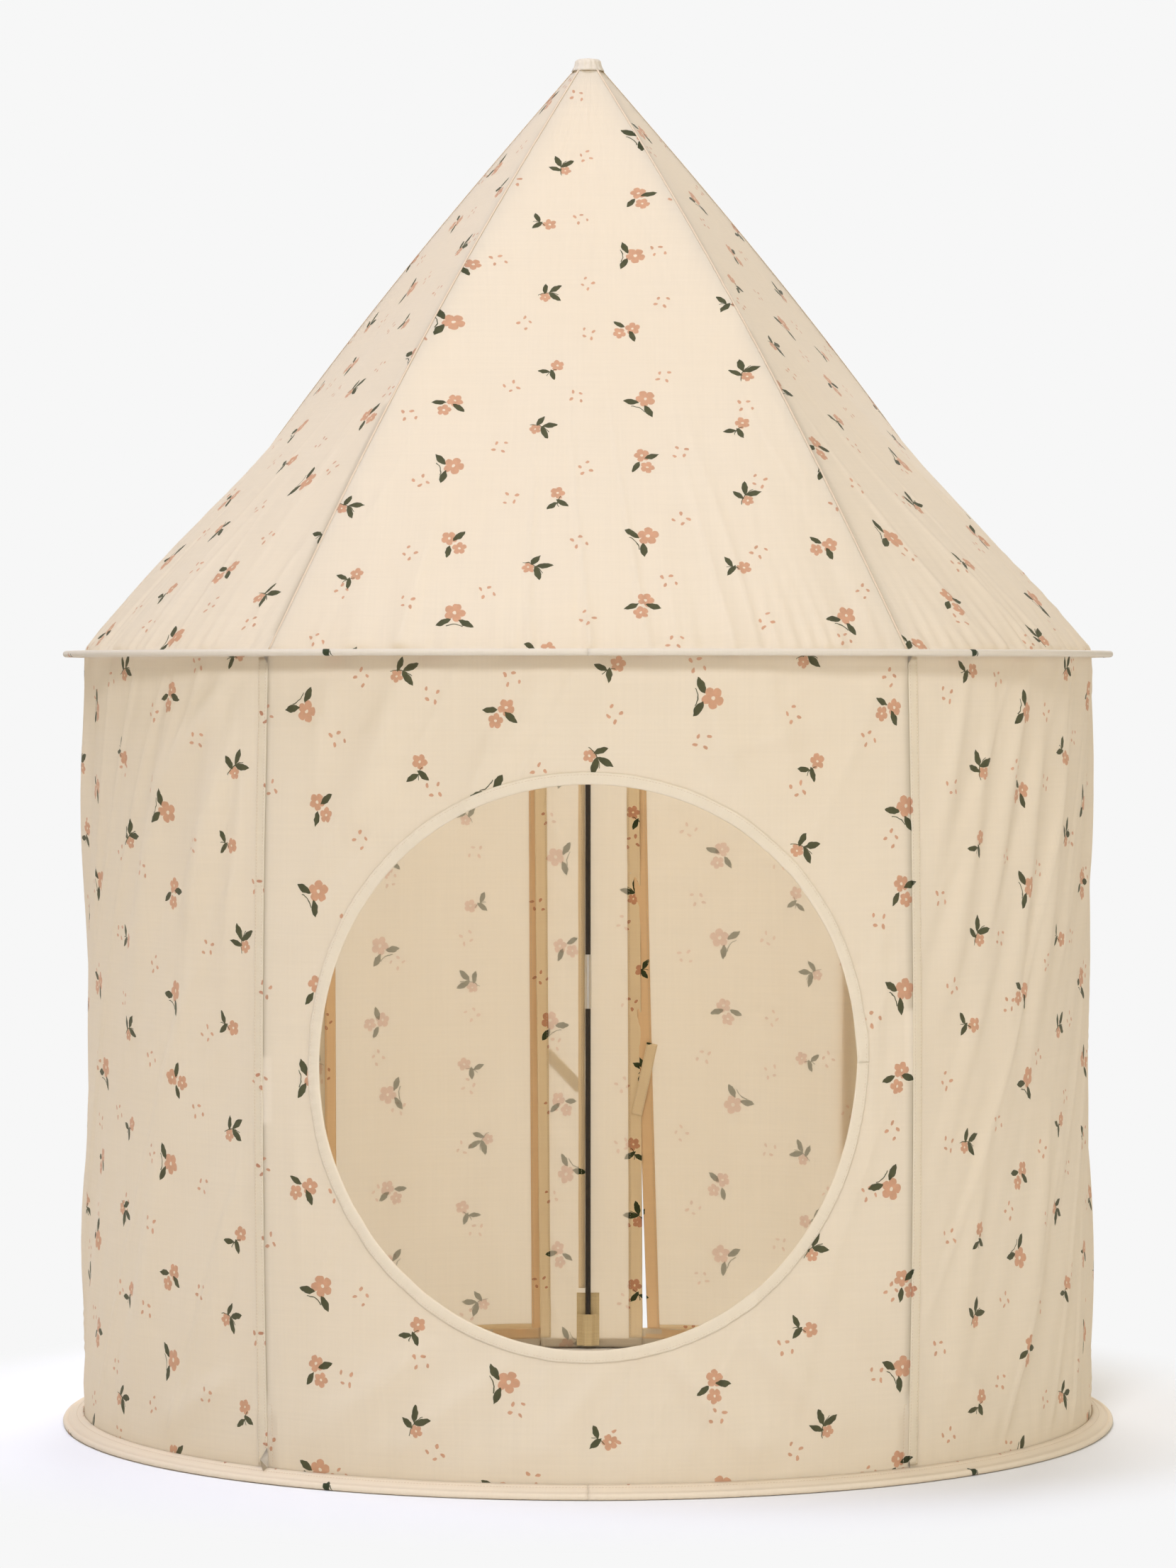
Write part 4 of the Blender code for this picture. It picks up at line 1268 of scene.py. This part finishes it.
# The webbing's run: 0 at the back strap and 1 in front of the rod, and the height.
pocket_path = [(0, BACK_TOP - 0.004 * i) for i in range(15)]
pocket_path += [(0.03, 0.0038), (0.2, 0.0031), (0.8, 0.0031), (0.97, 0.0038)]
pocket_path += [(1, 0.005 + 0.003 * i) for i in range(12)]
pocket_run = [0.0]
for (s0, z0), (s1, z1) in zip(pocket_path, pocket_path[1:]):
    pocket_run.append(pocket_run[-1] + math.hypot((s1 - s0) * POCKET_DEPTH, z1 - z0))
in_front = [step for step, (forward, _) in enumerate(pocket_path) if forward == 1]
for number, name in enumerate(POLE_ROUND):
    azimuth = 36 + 72 * number

    def pocket_point(x, step, azimuth=azimuth):
        forward, height = pocket_path[step]
        bow = WALL_BOW * math.sin(math.pi * height / EAVE)
        round_rod = smooth_step((0.0078 - abs(x)) / 0.0042)
        near = pocket_front - 0.0002 + (pocket_back - 0.0013 - pocket_front) * (1 - round_rod)
        flat = pocket_back - (CLOTH_R - math.sqrt(CLOTH_R**2 - x * x))
        if forward > 0.5:
            near -= 0.0012 * smooth_step((height - 0.028) / 0.01) * round_rod
        radius = flat + (near - flat) * forward + bow
        return polar(azimuth, radius, height) + polar(azimuth + 90, x, 0)

    pocket = sheet_of_cloth(
        f"{name}_pocket_webbing",
        even(-HALF_WEBBING, HALF_WEBBING, 0.0008),
        range(len(pocket_path)),
        pocket_point,
        lambda x, step: (x, pocket_run[step]),
        webbing,
        thickness=0.0006,
    )
    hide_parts(f"{name}_pocket")
    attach(pocket, "tent")
    for label, line in (
        ("left", [(-0.0106, step) for step in in_front]),
        ("right", [(0.0106, step) for step in in_front]),
        ("top", [(x, 1) for x in even(-0.0115, 0.0115, 0.0023)]),
    ):
        points = [pocket_point(*place) - polar(azimuth, SEAM_GAP, 0) for place in line]
        lean = -polar(azimuth, 1, 0)
        stitch_row(f"{name}_pocket_{label}_stitches", points, lean, "tent")

# The two cloth ties for the curtains: narrow folded straps sewn to the rear strip's bands.
HALF_TIE = 0.0061
# The inner tie wears the bands' cotton with its painted backlight.
for name, (start, top), (end, foot), lift, cloth in (
    ("tie_left", (-174.776, 0.3275), (-179.1, 0.286), 0.00105, felled),
    ("tie_right", (171.9, 0.337), (173.9, 0.258), -0.00105, bound_painted_backlight),
):
    run = Vector((math.radians(end - start) * CLOTH_R, foot - top))
    beside = Vector((-run.y, run.x)).normalized() * HALF_TIE

    def tie_point(side, share, start=start, top=top, run=run, beside=beside, lift=lift):
        slide = run * share + beside * side
        azimuth = start + math.degrees(slide.x / CLOTH_R)
        height = top + slide.y
        puff = 0.0003 * (1 - side * side) + 0.0002 * uneven(share * 7, side * 2, lift)
        radius = wall_radius(azimuth, height) + lift + math.copysign(puff, lift)
        return polar(azimuth, radius, height)

    outward = math.copysign(1, lift)
    tie = sheet_of_cloth(
        f"{name}_strap",
        even(outward, -outward, 0.2),
        even(0, 1, 0.03),
        tie_point,
        lambda side, share, run=run: (side * HALF_TIE + 0.4, share * run.length + 0.3),
        cloth,
        thickness=0.0005,
    )
    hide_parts(name)
    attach(tie, name)
    for label, side in (("near", -0.8), ("far", 0.8)):
        lifted = polar(start, outward * 0.00035, 0)
        points = [tie_point(side, share) + lifted for share in even(0.02, 0.98, 0.03)]
        lean = polar(start, outward, 0)
        stitch_row(f"{name}_{label}_stitches", points, lean, name)

# The poles: four dark fibreglass rods each, joined by drawn steel ferrules that show their
# lengthwise seam. The ferrule at the eave is bent to the roof's slope.
rod_paint = bpy.data.materials.new("dark_fibreglass")
make = Wiring(rod_paint)
streak = make.add(
    "Mapping", {"Vector": make.add("TexCoord", out="Object"), "Scale": (900, 900, 12)}
)
fibre = make.noise(streak, 1, 4, space="3D")
inputs = {"Base Color": make.tint(fibre, (0.010, 0.007, 0.005), (0.030, 0.022, 0.016))}
inputs |= {"Roughness": make.math("MULTIPLY_ADD", fibre, 0.25, 0.28), "Coat Weight": 0.2}
make.principled(inputs)

ferrule_metal = bpy.data.materials.new("ferrule_steel")
make = Wiring(ferrule_metal)
uv = make.add("UVMap", uv_map="cloth")
grain = make.noise(make.add("Mapping", {"Vector": uv, "Scale": (2600, 30, 1)}), 1, 3)
off_joint = make.math("ABSOLUTE", make.math("SUBTRACT", make.split(uv)[0], 0.0035))
joint = make.math("LESS_THAN", off_joint, 0.00022)
plain = make.tint(grain, (0.55, 0.55, 0.54), (0.80, 0.80, 0.79))
inputs = {"Base Color": make.tint(joint, plain, (0.12, 0.12, 0.12)), "Metallic": 1}
inputs |= {"Roughness": make.math("MULTIPLY_ADD", grain, 0.2, 0.24)}
inputs |= {"Normal": make.bump(grain, 0.3, 0.00005)}
make.principled(inputs)

ROD = 0.003
FERRULE = 0.0039
BORE = ROD + 0.0005
POLE_R = 0.49900
ELBOW_LEG = 0.022
ELBOW_RADIUS = 0.025
HALF_FERRULE = 0.030
END_GAP = 0.0003
AROUND = 20


def turned_bar(name, azimuth, path, bore, material):
    """A round bar along a path of (radius, height, thickness), bored if it has a bore."""
    across = polar(azimuth + 90, 1, 0)
    bm = bmesh.new()
    layer = bm.loops.layers.uv.new("cloth")
    spots = [Vector(point[:2]) for point in path]
    tangents = []
    for index in range(len(spots)):
        run = spots[min(index + 1, len(spots) - 1)] - spots[max(index - 1, 0)]
        tangents.append(run.normalized())
    loops = [(spot, point[2], tangent) for spot, point, tangent in zip(spots, path, tangents)]
    if bore:
        loops += [(spot, bore, tangent) for spot, _, tangent in reversed(loops)]
    rings = []
    for spot, thick, tangent in loops:
        out = polar(azimuth, tangent.y, -tangent.x)
        centre = polar(azimuth, *spot)
        ring = []
        for side in range(AROUND):
            turn = 2 * math.pi * side / AROUND
            offset = (out * math.cos(turn) + across * math.sin(turn)) * thick
            ring.append(bm.verts.new(centre + offset))
        rings.append(ring)
    if bore:
        rings.append(rings[0])
        loops.append(loops[0])
    add_tube(bm, rings)
    bm.faces.ensure_lookup_table()
    run = 0.0
    for index, (first, second) in enumerate(zip(loops, loops[1:])):
        step = (second[0] - first[0]).length
        for side in range(AROUND):
            face = bm.faces[index * AROUND + side]
            for loop, (u, v) in zip(face.loops, ((0, 0), (1, 0), (1, 1), (0, 1))):
                loop[layer].uv = ((side + u) * 0.0012, run + v * step)
        run += step
    if not bore:
        for ring in (rings[0], rings[-1]):
            bm.faces.new(ring)
    bmesh.ops.recalc_face_normals(bm, faces=bm.faces)
    bar = object_from(bm, name, material)
    bar.data.set_sharp_from_angle(angle=math.radians(40))
    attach(bar, "tent")
    return bar


def plain_bar(points, radius):
    """The path of a bar whose two ends are slightly rounded off."""
    first, last = (
        end.lerp(beside, min(0.5, 0.0005 / (beside - end).length))
        for end, beside in (points[:2], points[:-3:-1])
    )
    path = [(*points[0], radius * 0.86), (*first, radius)]
    path += [(*point, radius) for point in points[1:-1]]
    return path + [(*last, radius), (*points[-1], radius * 0.86)]


def bowed(start, end, bow, share):
    along = end - start
    normal = Vector((along.y, -along.x)).normalized()
    return start.lerp(end, share) + normal * bow * math.sin(math.pi * share)


pole_foot = Vector((POLE_R, 0.0035))
slope = roof_line.normalized()
inset = Vector((-slope.y, slope.x)) * 0.00475 * 1.3
knee = ROOF_FOOT + inset
knee += slope * (knee.x - POLE_R) / -slope.x
tip_share = (0.0075 - ROOF_POINT.x - inset.x) / (ROOF_FOOT.x - ROOF_POINT.x)
tip = ROOF_POINT + (ROOF_FOOT - ROOF_POINT) * tip_share + inset
rise = (knee - pole_foot).length
climb = (tip - knee).length


def on_wall(first, last, step=0.02):
    """Points on the pole's wall part between two distances from its foot."""
    return [bowed(pole_foot, knee, WALL_BOW, d / rise) for d in even(first, last, step)]


def on_roof(first, last, step=0.02):
    """Points on the pole's roof part between two distances from its knee."""
    return [bowed(knee, tip, ROOF_BOW, d / climb) for d in even(first, last, step)]


down = (on_wall(rise - ELBOW_LEG, rise)[0] - knee).normalized()
up = (on_roof(ELBOW_LEG, climb)[0] - knee).normalized()
bend = math.pi - down.angle(up)
tangent = ELBOW_RADIUS * math.tan(bend / 2)
bend_start = knee + down * tangent
bend_centre = bend_start + Vector((down.y, -down.x)) * ELBOW_RADIUS
arm = bend_start - bend_centre
leg = ELBOW_LEG + tangent
elbow = [knee + down * (leg - d) for d in even(0, ELBOW_LEG, 0.0055)[:-1]]
elbow += [bend_centre + Matrix.Rotation(bend * i / 8, 2) @ arm for i in range(9)]
elbow += [knee + up * (tangent + d) for d in even(0, ELBOW_LEG, 0.0055)[1:]]
for name, (azimuth, wall_joint, roof_joint) in POLES.items():
    joint = wall_joint - pole_foot.y
    rods = {
        "wall_lower_rod": on_wall(0, joint - END_GAP),
        "wall_upper_rod": on_wall(joint + END_GAP, rise - tangent - 2 * END_GAP),
        "roof_lower_rod": on_roof(tangent + 2 * END_GAP, roof_joint - END_GAP),
        "roof_upper_rod": on_roof(roof_joint + END_GAP, climb),
    }
    for part, points in rods.items():
        path = plain_bar(points, ROD)
        rod = turned_bar(f"{name}_pole_{part}_bar", azimuth, path, 0, rod_paint)
        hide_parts(f"{name}_pole_{part}")
    ferrules = {
        "eave_elbow": elbow,
        "wall_ferrule": on_wall(joint - HALF_FERRULE, joint + HALF_FERRULE, 0.0075),
        "roof_ferrule": on_roof(roof_joint - HALF_FERRULE, roof_joint + HALF_FERRULE, 0.0075),
    }
    for part, points in ferrules.items():
        path = plain_bar(points, FERRULE)
        tube = turned_bar(
            f"{name}_pole_{part}_tube", azimuth, path, BORE, ferrule_metal
        )
        if part != "roof_ferrule":
            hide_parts(f"{name}_pole_{part}")

# The sprung hoops and their joiners stay as modelled, inside their casings.
spring_steel = bpy.data.materials.new("spring_steel")
make = Wiring(spring_steel)
mottle = make.noise(make.add("TexCoord", out="Object"), 300, space="3D")
inputs = {"Base Color": make.tint(mottle, (0.22, 0.22, 0.23), (0.42, 0.42, 0.43))}
inputs |= {"Roughness": make.math("MULTIPLY_ADD", mottle, 0.3, 0.25), "Metallic": 1}
make.principled(inputs)
for node in ("eave_hoop", "base_hoop", "eave_hoop_joiner", "base_hoop_joiner"):
    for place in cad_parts[node].material_slots:
        place.material = spring_steel
